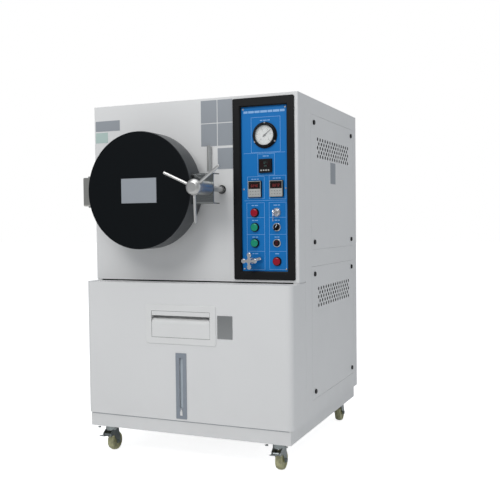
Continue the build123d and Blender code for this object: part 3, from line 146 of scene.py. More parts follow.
# %% Material builder
class Shader(Tree):
    """One procedural material, fed with Object coordinates."""

    def __init__(self, name):
        self.material = bpy.data.materials.new(name)
        self.material.use_nodes = True
        super().__init__(self.material.node_tree)
        self.surface = self.node("ShaderNodeBsdfPrincipled")
        self.node("ShaderNodeOutputMaterial", {"Surface": self.surface.outputs[0]})
        self.place = self.node("ShaderNodeTexCoord").outputs["Object"]

    def noise(self, scale, stretch=(1, 1, 1), detail=3.0):
        """Soft noise from 0 to 1; a stretch above 1 makes it finer along that axis."""
        moved = self.node("ShaderNodeMapping", {"Vector": self.place, "Scale": stretch})
        made = self.node("ShaderNodeTexNoise", {"Vector": moved.outputs[0], "Scale": scale, "Detail": detail})
        return Value(self, made.outputs[0])

    def along(self, axis):
        """The place along one axis of the frame, in metres."""
        return Value(self, self.node("ShaderNodeSeparateXYZ", [self.place]).outputs[axis])

    def mix(self, first, second, share):
        """A colour between two colours."""
        made = self.node("ShaderNodeMix", {"Factor": share, "A": first, "B": second}, data_type="RGBA")
        return made.outputs["Result"]

    def finish(self, color, roughness, metallic=0.0, bump=None, depth=0.00005, **extra):
        """Feeds the surface, and returns the material."""
        named = {key.replace("_", " "): value for key, value in extra.items()}
        surface = {"Base Color": color, "Roughness": roughness, "Metallic": metallic, **named}
        for key, value in surface.items():
            self.feed(self.surface.inputs[key], value)
        if bump is not None:
            made = self.node("ShaderNodeBump", {"Height": bump, "Strength": 0.6, "Distance": depth})
            self.feed(self.surface.inputs["Normal"], made.outputs["Normal"])
        return self.material


def shade(color, share):
    """The same colour, darker by a share."""
    return tuple(channel * share for channel in color)


print("shader tools ready")

# %% [markdown]
# ## Painted sheet
# The cabinet is powder coated: a warm grey white with a fine orange-peel bump, a faint change of tone
# over each panel and a little dust low down. A picture of paint could be wrapped on, but it would
# stretch and repeat on panels of this size, so noise on Object coordinates makes it at any scale. The
# side panels get painted shade inside their punched holes: the colour turns near black just behind the
# sheet's outer face, where the holes would lie in shadow. The ramp for it works on the square of the place
# across, so that one ramp serves the left and the right side.

# %% Powder coat
# Where the painted shade in the punched holes starts, as squared places across in metres.
HOLE_SHADE = (0.42462 ** 2, 0.42491 ** 2)


def paint(name, color, roughness, grain, depth, dust=0.0, shine=0.5, punched=False):
    """Coated sheet: a grainy bump, slight tone changes, dust low down and painted shade in punched holes."""
    shader = Shader(name)
    base = shader.mix(color, shade(color, 0.98), shader.noise(2.5, detail=4).ramp(0.35, 0.7))
    if dust:
        low_down = shader.along("Z").ramp(0.32, 0.10) * shader.noise(14).ramp(0.3, 0.75) * dust
        base = shader.mix(base, (0.36, 0.33, 0.28), low_down)
    # Painted shade: near black inside the punched holes, just behind the sheet's outer face.
    if punched:
        across = shader.along("X")
        base = shader.mix((0.012, 0.012, 0.013), base, (across * across).ramp(*HOLE_SHADE))
    rough = shader.noise(7).ramp(0.2, 0.8, roughness - 0.04, roughness + 0.06)
    grainy = shader.noise(grain, detail=2)
    return shader.finish(base, rough, bump=grainy, depth=depth, Specular_IOR_Level=shine)


CABINET_WHITE = (0.72, 0.725, 0.725)
cabinet_paint = paint("cabinet_paint", CABINET_WHITE, 0.40, 420, 0.00004, dust=0.04)
# The side panels carry painted shade inside their punched holes.
side_paint = paint("side_paint", CABINET_WHITE, 0.40, 420, 0.00004, dust=0.04, punched=True)
console_blue = paint("console_blue", (0.002, 0.165, 0.50), 0.38, 900, 0.00002, shine=0.25)
box_grey = paint("box_grey", (0.30, 0.31, 0.30), 0.42, 420, 0.00006)
level_grey = paint("level_grey", (0.25, 0.28, 0.32), 0.40, 420, 0.00002, shine=0.3)
print("paints:", [m.name for m in (cabinet_paint, side_paint, console_blue, box_grey, level_grey)])

# %% [markdown]
# ## Black drum
# The drum's flat front is dead matt and swallows light. Its round wall gets a greyer colour as painted
# light, for the light that grazes it, and it has a soft sheen. Two materials on two pieces could do it,
# but the drum is one pressed cover, so one material changes just behind the front face. The wall's sheen
# is a thin coat that fades in there.

# %% Drum coat
DRUM_OUT = front("door_cover")
DRUM_FACE = at(0, DRUM_OUT, 0).y


def drum_coat():
    """Black on the drum: dead matt on the flat front; a greyer colour round the wall as painted light, and a
    coat.
    """
    shader = Shader("drum_black")
    wall = shader.along("Y").ramp(DRUM_FACE + 0.0004, DRUM_FACE + 0.0020)
    # Painted light: the round wall's colour is greyer than the front's, for the light that grazes it.
    base = shader.mix((0.0036, 0.0050, 0.0062), (0.050, 0.055, 0.058), wall)
    return shader.finish(
        base, 0.48, bump=shader.noise(600, detail=2), depth=0.00006,
        Specular_IOR_Level=0.08, Coat_Weight=wall.ramp(0, 1, 0, 0.64), Coat_Roughness=0.48,
    )


drum_black = drum_coat()
print("coat:", drum_black.name)

# %% [markdown]
# ## Metals
# The door's arm, the lid and the rack are brushed stainless steel, and its streaks run along the way
# that each part was ground. An anisotropic shader alone would look smooth close up, so noise drawn out
# along one axis also moves the tone, the roughness and the bump. Levers, hub and screws are polished and
# only carry faint smudges. The arm's steel is dark, as painted reflection of the black drum, and its left
# end, beside the hinge, is much lighter, as painted highlight.

# %% Metals
LEFT_HIGHLIGHT = (-0.36, -0.34)


def brushed(name, color, along, roughness=0.27, left_highlight=None):
    """Brushed metal: noise drawn out along one axis drives tone, roughness and bump; a painted highlight at
    the left end.
    """
    shader = Shader(name)
    stretch = tuple(1.0 if axis == along else 40.0 for axis in "xyz")
    streaks = shader.noise(26, stretch, detail=4)
    base = shader.mix(shade(color, 0.88), color, streaks.ramp(0.25, 0.75))
    if left_highlight:
        # Painted highlight: the arm's left end, beside the hinge, takes a much lighter colour.
        base = shader.mix(left_highlight, base, shader.along("X").ramp(*LEFT_HIGHLIGHT))
    rough = streaks.ramp(0.2, 0.8, roughness - 0.04, roughness + 0.08)
    return shader.finish(base, rough, 1.0, bump=streaks, depth=0.00001, Anisotropic=0.4)


def polished(name, color, roughness):
    """Bright metal with faint smudges."""
    shader = Shader(name)
    smudge = shader.noise(45, detail=5)
    base = shader.mix(color, shade(color, 0.92), smudge)
    rough = smudge.ramp(0.35, 0.75, roughness, roughness + 0.10)
    return shader.finish(base, rough, 1.0, bump=shader.noise(160), depth=0.00001)


stainless_x = brushed("stainless_x", (0.36, 0.37, 0.37), "x", 0.20)
# The arm's dark steel is painted reflection of the black drum; its left end is a painted highlight.
arm_painted_light = brushed("arm_painted_light", (0.20, 0.21, 0.21), "x", 0.12, left_highlight=(0.50, 0.49, 0.46))
stainless_y = brushed("stainless_y", (0.60, 0.60, 0.60), "y", 0.16)
stainless_z = brushed("stainless_z", (0.40, 0.41, 0.41), "z")
bracket_steel = brushed("bracket_steel", (0.58, 0.59, 0.58), "y", 0.34)
polished_steel = polished("polished_steel", (0.56, 0.56, 0.55), 0.33)
chrome_trim = polished("chrome_trim", (0.78, 0.78, 0.79), 0.09)
# The zinc's green grey is the plating's own, kept darker as painted shade for the caster forks under the
# plinth.
zinc = polished("zinc", (0.33, 0.36, 0.36), 0.30)
print("brushed:", [m.name for m in (stainless_x, arm_painted_light, stainless_y, stainless_z, bracket_steel)])
print("polished:", [m.name for m in (polished_steel, chrome_trim, zinc)])

# %% [markdown]
# ## Plastics and prints
# Buttons, frames, keypads and prints are moulded or coated plastic. One flat colour would look like
# paper, so a shared recipe adds a fine grain and a slow change of tone and roughness, and each piece
# brings its own colour and shine.

# %% Plastics and prints
def plastic(name, color, roughness, grain=500, depth=0.00004, **extra):
    """Moulded plastic: a plain colour with a fine grain."""
    shader = Shader(name)
    base = shader.mix(color, shade(color, 0.97), shader.noise(9).ramp(0.3, 0.8))
    rough = shader.noise(12).ramp(0.2, 0.8, roughness - 0.02, roughness + 0.04)
    return shader.finish(base, rough, bump=shader.noise(grain), depth=depth, **extra)


black_plastic = plastic("black_plastic", (0.0045, 0.0045, 0.005), 0.40, Specular_IOR_Level=0.22)
dial_white = plastic("dial_white", (0.82, 0.82, 0.80), 0.5, depth=0.00001)
needle_black = plastic("needle_black", (0.012, 0.012, 0.012), 0.45)
red_lens = plastic("red_lens", (0.30, 0.003, 0.018), 0.24, Specular_IOR_Level=0.3)
green_lens = plastic("green_lens", (0.008, 0.27, 0.16), 0.24, Specular_IOR_Level=0.3)
white_plastic = plastic("white_plastic", (0.735, 0.74, 0.735), 0.30)
tank_plastic = plastic("tank_plastic", (0.70, 0.73, 0.73), 0.40)
silicone = plastic("silicone", (0.46, 0.11, 0.07), 0.55)
print_white = plastic("print_white", (0.66, 0.78, 0.90), 0.5, depth=0.00001)
print_blue = plastic("print_blue", (0.24, 0.46, 0.78), 0.5, depth=0.00001)
plate_grey = plastic("plate_grey", (0.30, 0.325, 0.355), 0.36, depth=0.00002)
plate_pale = plastic("plate_pale", (0.44, 0.56, 0.53), 0.36, depth=0.00002)
keypad_grey = plastic("keypad_grey", (0.42, 0.43, 0.42), 0.45, depth=0.00002)
window_dark = plastic("window_dark", (0.012, 0.003, 0.003), 0.16, depth=0.00001, Specular_IOR_Level=0.3)
tube_milky = plastic("tube_milky", (0.46, 0.52, 0.57), 0.30, depth=0.00001)
print("plastics:", [m.name for m in (black_plastic, red_lens, green_lens, plate_grey, keypad_grey)])

# %% [markdown]
# ## Glass, treads and lit digits
# The gauge's glass is a thin clear pane. A refracting glass would be truer in this renderer, but some
# viewers would draw it solid, so it is mostly see-through instead. The caster treads are amber
# polyurethane, greyer where they have rolled. Lit digits give off a little light of their own, uneven as
# in a real display, so their colour is what the noise changes.

# %% Glass, treads and lit digits
def clear(name, color, roughness):
    """A thin clear pane that stays clear in every viewer."""
    shader = Shader(name)
    rough = shader.noise(20).ramp(0.3, 0.8, roughness, roughness + 0.05)
    shader.material.surface_render_method = "BLENDED"
    return shader.finish(color, rough, Alpha=0.14, Specular_IOR_Level=0.6)


def tread():
    """Amber polyurethane with grey dust where it has rolled."""
    shader = Shader("amber_tread")
    grime = shader.noise(70, detail=5).ramp(0.4, 0.75)
    base = shader.mix((0.52, 0.51, 0.29), (0.33, 0.32, 0.20), grime)
    return shader.finish(base, grime.ramp(0, 1, 0.32, 0.5), bump=shader.noise(220), depth=0.00008)


def glow(name, color, strength):
    """A lit segment, a little uneven."""
    shader = Shader(name)
    lit = shader.mix(shade(color, 0.9), color, shader.noise(300).ramp(0.2, 0.8))
    return shader.finish(color, 0.4, Emission_Color=lit, Emission_Strength=strength)


clear_glass = clear("clear_glass", (0.92, 0.96, 0.96), 0.04)
amber_tread = tread()
digit_red = glow("digit_red", (0.30, 0.02, 0.02), 0.12)
digit_green = glow("digit_green", (0.04, 0.16, 0.14), 0.08)
print("others:", [m.name for m in (clear_glass, amber_tread, digit_red, digit_green)])

# %% [markdown]
# ## Materials on the frame
# The imported record already says what each part is made of, so each node takes the recipe of its own
# slot, and a node can't be missed. A few nodes need a recipe of their own: sheet that was brushed
# another way, the arm with its painted reflection and painted highlight, the milky level tube, and the
# side panels with painted shade in their punched holes.

# %% Dress every CAD node
BY_SLOT = {
    "cabinet_paint": cabinet_paint, "drum_black": drum_black, "stainless": stainless_x,
    "polished_steel": polished_steel, "black_plastic": black_plastic, "console_blue": console_blue,
    "dial_white": dial_white, "clear_glass": clear_glass, "needle_black": needle_black,
    "chrome_trim": chrome_trim, "red_lens": red_lens, "green_lens": green_lens,
    "white_plastic": white_plastic, "tank_plastic": tank_plastic, "box_grey": box_grey,
    "silicone": silicone, "amber_tread": amber_tread, "zinc": zinc,
}
BY_NODE = {
    "rack_frame": stainless_y, "rack_trays": stainless_y, "guide_tube": bracket_steel,
    "level_plate": level_grey, "pressure_vessel": stainless_z, "door_arm": arm_painted_light,
    "level_tube": tube_milky, "hinge_bracket": bracket_steel, "side_panels": side_paint,
}
for subpart in frame["record"]["subparts"]:
    name = subpart["node"]
    nodes[name].data.materials.clear()
    nodes[name].data.materials.append(BY_NODE.get(name, BY_SLOT[subpart["material_slot"]]))

# %% [markdown]
# ## Builders for the added pieces
# The added pieces are prints, plates, digits, caps and screw heads, so a box, a round head and a ring
# make almost all of them. Each starts from a bmesh operator. Objects placed in the editor would do too,
# but a mesh that holds its own place keeps its pattern still when the part that carries it moves.

# %% Boxes and printed outlines
PRINT = 0.15


def box(shape, low, high):
    """Adds a box between two corners given in mm as (x, out, z)."""
    a, b = at(*low), at(*high)
    size = [abs(v) for v in b - a]
    place = Matrix.Translation((a + b) / 2) @ Matrix.Diagonal((*size, 1))
    bmesh.ops.create_cube(shape, size=1, matrix=place)


def outline(shape, left, top, right, low, out, line=0.9, raised=PRINT):
    """Adds a thin printed rectangle."""
    box(shape, (left, out, top - line), (right, out + raised, top))
    box(shape, (left, out, low), (right, out + raised, low + line))
    box(shape, (left, out, low + line), (left + line, out + raised, top - line))
    box(shape, (right - line, out, low + line), (right, out + raised, top - line))


# %% Round heads, rings and leaning bars
TO_FRONT = (0, -1, 0)
TO_BACK = (0, 1, 0)
DOWN = (0, 0, -1)


def round_head(shape, middle, direction, radius, height, sides=24, narrow=0.75):
    """Adds a low round head that stands on a face, pointing away from it."""
    turned = Vector(direction).to_track_quat("Z", "Y").to_matrix().to_4x4()
    half_way = Matrix.Translation(middle + Vector(direction) * height / 2 * MM)
    bmesh.ops.create_cone(
        shape, cap_ends=True, segments=sides, radius1=radius * MM, radius2=radius * narrow * MM,
        depth=height * MM, matrix=half_way @ turned,
    )


def ring(shape, middle, inner, outer, height, steps=48):
    """Adds a flat ring that stands out towards the front."""
    corners = ((inner, 0), (outer, 0), (outer * 0.97, height), (inner, height))
    verts = [shape.verts.new(middle + Vector((across, -out, 0)) * MM) for across, out in corners]
    edges = [shape.edges.new((verts[index - 1], verts[index])) for index in range(4)]
    bmesh.ops.spin(
        shape, geom=verts + edges, cent=middle, axis=(0, 1, 0), angle=2 * pi, steps=steps, use_merge=True,
    )
    bmesh.ops.recalc_face_normals(shape, faces=shape.faces)


def leaning_bar(shape, middle, angle, length, raised, width):
    """Adds a bar on a front face, turned by an angle from level."""
    turned = Matrix.Translation(middle) @ Matrix.Rotation(-angle, 4, "Y")
    size = Matrix.Diagonal((length * MM, raised * MM, width * MM, 1))
    bmesh.ops.create_cube(shape, size=1, matrix=turned @ size)


# %% From a bmesh to a piece
def piece(name, shape, material, body):
    """Turns a bmesh into a piece that rides on a body."""
    mesh = bpy.data.meshes.new(name)
    shape.to_mesh(mesh)
    shape.free()
    mesh.materials.append(material)
    made = bpy.data.objects.new(name, mesh)
    bpy.context.scene.collection.objects.link(made)
    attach(made, body)
    print(name, "has", len(mesh.polygons), "faces")


# %% [markdown]
# ## Console print
# Pale lines on the blue plate frame each instrument and each column of switches, and short dashes break
# up the space above them. They could be drawn by the plate's shader, but a thin raised box keeps a crisp
# edge at any distance.

# %% Printed outlines
print_lines = bmesh.new()
for left, top, right, low in (
    (243, 1269.4, 355.8, 1142.6), (267.4, 1137.6, 333, 1059.7), (226.4, 1056.5, 292.8, 976.5),
    (311, 1058.2, 375.8, 974.6), (222.8, 961.9, 292.4, 719.3), (309.9, 962.4, 375.7, 720.4),
):
    outline(print_lines, left, top, right, low, PLATE_OUT)
for left, right, rows in (
    (213, 374, (1140.1, 969.0)), (223.7, 291.5, (907.6, 846.6, 785.6)), (310.8, 374.8, (907.6, 846.6, 785.6)),
):
    for row_z in rows:
        box(print_lines, (left, PLATE_OUT, row_z), (right, PLATE_OUT + PRINT, row_z + 0.9))
piece("console_outlines", print_lines, print_blue, "cabinet")

# %% Printed dashes
DASH_GAP = 2.5
TITLE_Z = 1289
dashes = bmesh.new()
for middle, z, widths in (
    (297, 1257, (9, 14, 9)), (299, 1129, (12, 8)), (257, 1047, (8, 8, 8)), (340.5, 1048.5, (8, 8, 8)),
    (254.5, 952, (10, 12)), (339.5, 952, (14, 8)), (254.5, 898, (8, 12)), (339.5, 898, (12, 8)),
    (254.5, 837.5, (12, 8)), (339.5, 837.5, (8, 8)), (254.5, 777.5, (8, 12)), (339.5, 777.5, (14,)),
    (293.5, TITLE_Z, (16, 22, 20, 26, 18, 24, 18)),
):
    start = middle - (sum(widths) + DASH_GAP * (len(widths) - 1)) / 2
    tall = 8.0 if z == TITLE_Z else 3.0
    for width in widths:
        box(dashes, (start, PLATE_OUT, z - tall / 2), (start + width, PLATE_OUT + PRINT, z + tall / 2))
        start += width + DASH_GAP
piece("console_dashes", dashes, print_blue, "cabinet")

# %% [markdown]
# ## Gauge dial
# Ticks run round three quarters of the pressure gauge's dial, with a number at each long one, and a fine
# arc joins their outer ends. A loop turns one bar into all of them, which keeps their spacing exact. The
# needle is CAD, because it turns.

# %% Dial ticks and arc
GAUGE_X, GAUGE_Z = centre("gauge_dial")
DIAL_OUT = -4.0
DIAL_START, DIAL_SWEEP = 225, 270
TICK_COUNT, ARC_COUNT = 50, 90
INK = 0.12


def on_gauge(angle, radius, out):
    """A place on the gauge, at an angle from level and a distance from its middle."""
    return at(GAUGE_X + cos(angle) * radius, out, GAUGE_Z + sin(angle) * radius)


def spoke(shape, angle, inner, outer, width):
    """Adds a radial bar on the dial."""
    middle = on_gauge(angle, (inner + outer) / 2, DIAL_OUT + INK / 2)
    leaning_bar(shape, middle, angle, outer - inner, INK, width)


ticks = bmesh.new()
for step in range(TICK_COUNT + 1):
    long_tick = step % 10 == 0
    angle = radians(DIAL_START - DIAL_SWEEP * step / TICK_COUNT)
    spoke(ticks, angle, 27.5 if long_tick else 31.5, 35.5, 1.1 if long_tick else 0.5)
for step in range(ARC_COUNT):
    spoke(ticks, radians(DIAL_START - DIAL_SWEEP * (step + 0.5) / ARC_COUNT), 35.2, 36.0, 2.1)
piece("dial_ticks", ticks, needle_black, "cabinet")

# %% Dial numbers
NUMBER_RADIUS, NUMBER_SIZE = 21.5, 8.5
FACE_FRONT = Matrix.Rotation(radians(90), 4, "X")
for step, number in enumerate("012345"):
    curve = bpy.data.curves.new("dial_number", "FONT")
    curve.body = number
    curve.align_x = "CENTER"
    curve.align_y = "CENTER"
    curve.size = NUMBER_SIZE * MM
    curve.resolution_u = 3
    flat = bpy.data.objects.new("flat_number", curve)
    shape = bmesh.new()
    shape.from_mesh(bpy.data.meshes.new_from_object(flat))
    bpy.data.objects.remove(flat)
    middle = on_gauge(radians(DIAL_START - DIAL_SWEEP / 5 * step), NUMBER_RADIUS, DIAL_OUT + INK)
    bmesh.ops.transform(shape, matrix=Matrix.Translation(middle) @ FACE_FRONT, verts=shape.verts)
    piece("dial_number_" + number, shape, needle_black, "cabinet")

# %% [markdown]
# ## Displays
# The controller and both timers have dark windows with lit seven-segment digits. A font would give
# letters of even weight, so each digit is built from the same seven bars as a real one.

# %% One digit
SEGMENTS = {"0": "abcdef", "1": "bc", "2": "abged", "4": "fgbc", "7": "abc"}


def digit(shape, character, x, z, width, height, out):
    """Adds one seven-segment digit around its centre."""
    line = width * 0.2
    w, h = width / 2, height / 2
    bars = {
        "a": (-w + line, h - line, w - line, h), "g": (-w + line, -line / 2, w - line, line / 2),
        "d": (-w + line, -h, w - line, -h + line), "f": (-w, line / 2, -w + line, h - line / 2),
        "b": (w - line, line / 2, w, h - line / 2), "e": (-w, -h + line / 2, -w + line, -line / 2),
        "c": (w - line, -h + line / 2, w, -line / 2),
    }
    for key in SEGMENTS[character]:
        x0, z0, x1, z1 = bars[key]
        box(shape, (x + x0, out, z + z0), (x + x1, out + 0.1, z + z1))


# %% Windows and digits
WINDOW_FLOOR, WINDOW_FRONT = 0.8, 1.1
TIMER_HALF = 26.0
CONTROLLER_X = centre("temp_controller")[0]
TIMERS_X = (extent("timers")[0][0] + TIMER_HALF, extent("timers")[1][0] - TIMER_HALF)


def display(name, x, z, width, height, rows, material):
    """A dark window with rows of digits, just above the window's floor."""
    pane = bmesh.new()
    box(pane, (x - width / 2, WINDOW_FLOOR, z - height / 2), (x + width / 2, WINDOW_FRONT, z + height / 2))
    piece(name + "_window", pane, window_dark, "cabinet")
    lit = bmesh.new()
    for characters, row_z, tall in rows:
        for index, character in enumerate(characters):
            place = x + (index - (len(characters) - 1) / 2) * tall * 0.78
            digit(lit, character, place, z + row_z, tall * 0.52, tall, WINDOW_FRONT)
    piece(name + "_digits", lit, material, "cabinet")


CONTROLLER_Z, CONTROLLER_WINDOW = 1099.5, (38.6, 23.6)
CONTROLLER_ROWS = (("121", 5.0, 8.0), ("120", -6.0, 6.0))
TIMER_Z, TIMER_WINDOW, TIMER_DIGIT = 1023.0, (40.2, 20.0), 9.0
display("controller", CONTROLLER_X, CONTROLLER_Z, *CONTROLLER_WINDOW, CONTROLLER_ROWS, digit_green)
for name, timer_x, shown in (("timer_left", TIMERS_X[0], "0240"), ("timer_right", TIMERS_X[1], "0072")):
    display(name, timer_x, TIMER_Z, *TIMER_WINDOW, ((shown, 0.0, TIMER_DIGIT),), digit_red)

# %% [markdown]
# ## Keypads
# Under its window the controller has four small keys, and each timer has a grey field with eight keys
# and a rim. They could be single keys that move, but nobody presses them in this model, so they are flat
# pieces laid on the CAD housings, made by loops over columns and rows.

# %% Controller keys
KEYPAD_OUT = 2.0
CONTROLLER_OUT = front("temp_controller")
KEY_COLUMNS, KEY_PITCH, KEY_HALF, KEY_LOW, KEY_TOP = 4, 9.5, 2.8, 1075.2, 1079.8
keys = bmesh.new()
for column in range(KEY_COLUMNS):
    x = CONTROLLER_X + (column - (KEY_COLUMNS - 1) / 2) * KEY_PITCH
    box(keys, (x - KEY_HALF, CONTROLLER_OUT, KEY_LOW), (x + KEY_HALF, CONTROLLER_OUT + 0.2, KEY_TOP))
piece("controller_keys", keys, keypad_grey, "cabinet")

# %% Timer keypads
PAD_PITCH_X, PAD_PITCH_Z, PAD_MIDDLE_Z = 10.4, 10.8, 997.8
RIM_HALF, FIELD_HALF = 24.5, 22.5
FIELD_OUT, PAD_OUT = KEYPAD_OUT + 0.2, KEYPAD_OUT + 1.0
keypads = bmesh.new()
marks = bmesh.new()
for timer_x in TIMERS_X:
    outline(keypads, timer_x - RIM_HALF, 1039.5, timer_x + RIM_HALF, 982.5, KEYPAD_OUT, line=1.6, raised=0.3)
    box(keypads, (timer_x - FIELD_HALF, KEYPAD_OUT, 984.5), (timer_x + FIELD_HALF, FIELD_OUT, 1011.5))
    for column in (-1.5, -0.5, 0.5, 1.5):
        for row in (-0.5, 0.5):
            x = timer_x + column * PAD_PITCH_X
            z = PAD_MIDDLE_Z + row * PAD_PITCH_Z
            box(keypads, (x - 3.65, FIELD_OUT, z - 3.3), (x + 3.65, PAD_OUT, z + 3.3))
            box(marks, (x - 1.8, PAD_OUT, z - 0.9), (x + 1.8, PAD_OUT + 0.1, z + 0.9))
piece("timer_keypads", keypads, keypad_grey, "cabinet")
piece("timer_key_marks", marks, needle_black, "cabinet")

# %% [markdown]
# ## Bare plates
# Thin bare plates sit on the drum, on the upper panel, beside the pull and on the right side. A patch of
# colour in the paint would look as flat, but a real plate has an edge that catches light, so each is a
# box as thick as the sheet it stands for.

# %% Plates
PLATE, METAL_PLATE = 0.4, 0.6
for name, x0, z0, x1, z1, out, thick, material, body, slot in (
    ("plate_drum", -213, 966, -66, 1056, DRUM_OUT, PLATE, plate_grey, "door", "white_plastic"),
    ("plate_top_left", -418, 1209, -362, 1249, 0.0, PLATE, plate_pale, "cabinet", "white_plastic"),
    ("plate_top_maker", -418, 1254, -307, 1294, 0.0, PLATE, plate_grey, "cabinet", "white_plastic"),
    ("plate_upper_a", 45, 1259, 110, 1342, 0.0, PLATE, plate_grey, "cabinet", "white_plastic"),
    ("plate_upper_b", 113, 1259, 173, 1342, 0.0, PLATE, plate_grey, "cabinet", "white_plastic"),
    ("plate_upper_c", 45, 1174, 110, 1256, 0.0, PLATE, plate_grey, "cabinet", "white_plastic"),
    ("plate_upper_d", 113, 1174, 173, 1256, 0.0, PLATE, plate_grey, "cabinet", "white_plastic"),
    ("plate_upper_e", 112, 1088, 173, 1165, 0.0, PLATE, plate_grey, "cabinet", "white_plastic"),
    ("plate_cover", 137, 472, 197, 556, COVER_OUT, METAL_PLATE, stainless_x, "cover", "stainless"),
):
    shape = bmesh.new()
    box(shape, (x0, out, z0), (x1, out + thick, z1))
    piece(name, shape, material, body)

side_x = extent("side_panels")[1][0]
side_shape = bmesh.new()
box(side_shape, (side_x, -455, 1042), (side_x + PLATE, -387, 1126))
piece("plate_side", side_shape, plate_grey, "cabinet")

# %% [markdown]
# ## Selector pointer
# The selector knob has a white pointer on its front, turned 60 degrees from level. It could be cut into
# the CAD knob, but it is only a stripe of paint, so it is a thin bar that rides on the knob.

# %% Selector pointer
KNOB_X, KNOB_Z = centre("selector_knob")
POINTER_ANGLE, POINTER_RADIUS, POINTER_OUT = radians(60), 5, 7.45
pointer = bmesh.new()
pointer_x = KNOB_X + cos(POINTER_ANGLE) * POINTER_RADIUS
pointer_z = KNOB_Z + sin(POINTER_ANGLE) * POINTER_RADIUS
leaning_bar(pointer, at(pointer_x, POINTER_OUT, pointer_z), POINTER_ANGLE, length=11, raised=0.4, width=2.4)
piece("selector_pointer", pointer, print_white, "selector")

# %% [markdown]
# ## Gauge trim
# A broad black rim lies in front of and behind the gauge's glass, and three bright screws hold its
# flange. The rim is spun from a four-cornered section, because a spun ring has a true round edge where a
# cut disc would need a boolean.

# %% Gauge rim and flange screws
rim = bmesh.new()
ring(rim, at(GAUGE_X, 3.7, GAUGE_Z), 35.6, 40.6, 0.3)
ring(rim, at(GAUGE_X, DIAL_OUT, GAUGE_Z), 36.2, 39.4, 0.3)
piece("gauge_inner_ring", rim, black_plastic, "cabinet")

flange_screws = bmesh.new()
for turned in (90, 210, 330):
    round_head(flange_screws, on_gauge(radians(turned), 44.5, -1.6), TO_FRONT, 3.4, 1.0)
piece("gauge_flange_screws", flange_screws, chrome_trim, "cabinet")

# %% [markdown]
# ## Switch caps and collars
# Each push button and the lamp has a domed lens in a dark collar. Two low heads, one on the other, give
# the dome a rim and a flatter top. The lenses ride on their own buttons. The collars stay on the plate
# and are rings, so that a pressed button has room to go in.

# %% Lenses
BUTTON_OUT, LAMP_OUT = 2.2, 1.2
LENS_RADIUS, DOME_RADIUS = 13.8, 13.4
for name, node, material, body, slot in (
    ("lens_red", "button_red", red_lens, "button_red_body", "red_lens"),
    ("lens_green_upper", "button_green_upper", green_lens, "button_green_upper_body", "green_lens"),
    ("lens_green_lower", "button_green_lower", green_lens, "button_green_lower_body", "green_lens"),
    ("lens_lamp", "indicator_lamp", red_lens, "cabinet", "red_lens"),
):
    x, z = centre(node)
    out = LAMP_OUT if body == "cabinet" else BUTTON_OUT
    lens_cap = bmesh.new()
    round_head(lens_cap, at(x, out - 1.0, z), TO_FRONT, LENS_RADIUS, 1.4, sides=48, narrow=0.97)
    round_head(lens_cap, at(x, out + 0.4, z), TO_FRONT, DOME_RADIUS, 1.0, sides=48, narrow=0.78)
    piece(name, lens_cap, material, body)

# %% Collars, key rosette and buzzer grille
COLLAR_INNER, COLLAR_OUTER, COLLAR_HEIGHT = 11.8, 16.8, 4.1
ROSETTE_RADIUS, ROSETTE_HEIGHT = 17.2, 4.2
SLOT_HALF, SLOT_PITCH = 5.3, 5.0
collars = bmesh.new()
for node in ("button_red", "button_green_upper", "button_green_lower", "indicator_lamp"):
    x, z = centre(node)
    ring(collars, at(x, PLATE_OUT, z), COLLAR_INNER, COLLAR_OUTER, COLLAR_HEIGHT)
piece("switch_collars", collars, black_plastic, "cabinet")

key_x, key_z = centre("key_switch")
rosette = bmesh.new()
rosette_place = at(key_x, PLATE_OUT, key_z)
round_head(rosette, rosette_place, TO_FRONT, ROSETTE_RADIUS, ROSETTE_HEIGHT, sides=48, narrow=0.86)
piece("key_rosette", rosette, chrome_trim, "cabinet")

buzzer_x, buzzer_z = centre("buzzer")
grille = bmesh.new()
for row in (-1, 0, 1):
    z = buzzer_z + row * SLOT_PITCH
    box(grille, (buzzer_x - SLOT_HALF, -0.5, z - 0.7), (buzzer_x + SLOT_HALF, -0.1, z + 0.7))
piece("buzzer_slots", grille, red_lens, "cabinet")

# %% [markdown]
# ## Level gauge and shadow lines
# The level gauge has a white fitting at its foot and a milky strip behind its slot. Dark lines are
# painted shade in the narrow gaps round the pull's insert and a painted shadow over the plinth, and a
# dark strip in the gap under the upper body is painted shade too, which also stops light shining through
# from behind. The gaps could be left to their own shade, but they are narrower than a pixel of this
# picture, so thin lines draw them.

# %% Level strip and fitting
LEVEL_X = centre("level_plate")[0]
STRIP_BACK, STRIP_FRONT, STRIP_HALF = 67.3, 68.7, 13.0
strip = bmesh.new()
box(strip, (LEVEL_X - STRIP_HALF, STRIP_BACK, 200), (LEVEL_X + STRIP_HALF, STRIP_FRONT, 418))
piece("level_strip", strip, tube_milky, "cover")

fitting = bmesh.new()
box(fitting, (LEVEL_X - 4.5, LEVEL_OUT, 181), (LEVEL_X + 4.5, LEVEL_OUT + 2.0, 196))
box(fitting, (LEVEL_X - 2.5, LEVEL_OUT, 196), (LEVEL_X + 2.5, LEVEL_OUT + 1.2, 203))
piece("level_fitting", fitting, white_plastic, "cover")

# %% Shadow lines and shade strip
PULL_X, PULL_Z = centre("pull_handle")
PULL_FACE = 77.0
INSERT_HALF_WIDTH, INSERT_HALF_HEIGHT = 121.0, 49.5
# Painted shade: dark lines in the narrow gap round the pull's insert.
gap_shade_lines = bmesh.new()
outline(
    gap_shade_lines, PULL_X - INSERT_HALF_WIDTH, PULL_Z + INSERT_HALF_HEIGHT,
    PULL_X + INSERT_HALF_WIDTH, PULL_Z - INSERT_HALF_HEIGHT, PULL_FACE, line=1.1, raised=0.05,
)
piece("pull_gap_shade_lines", gap_shade_lines, needle_black, "cover")

PLINTH_OUT = front("base_plinth")
LINE_HALF, SHADE_STRIP_HALF = 408, 400
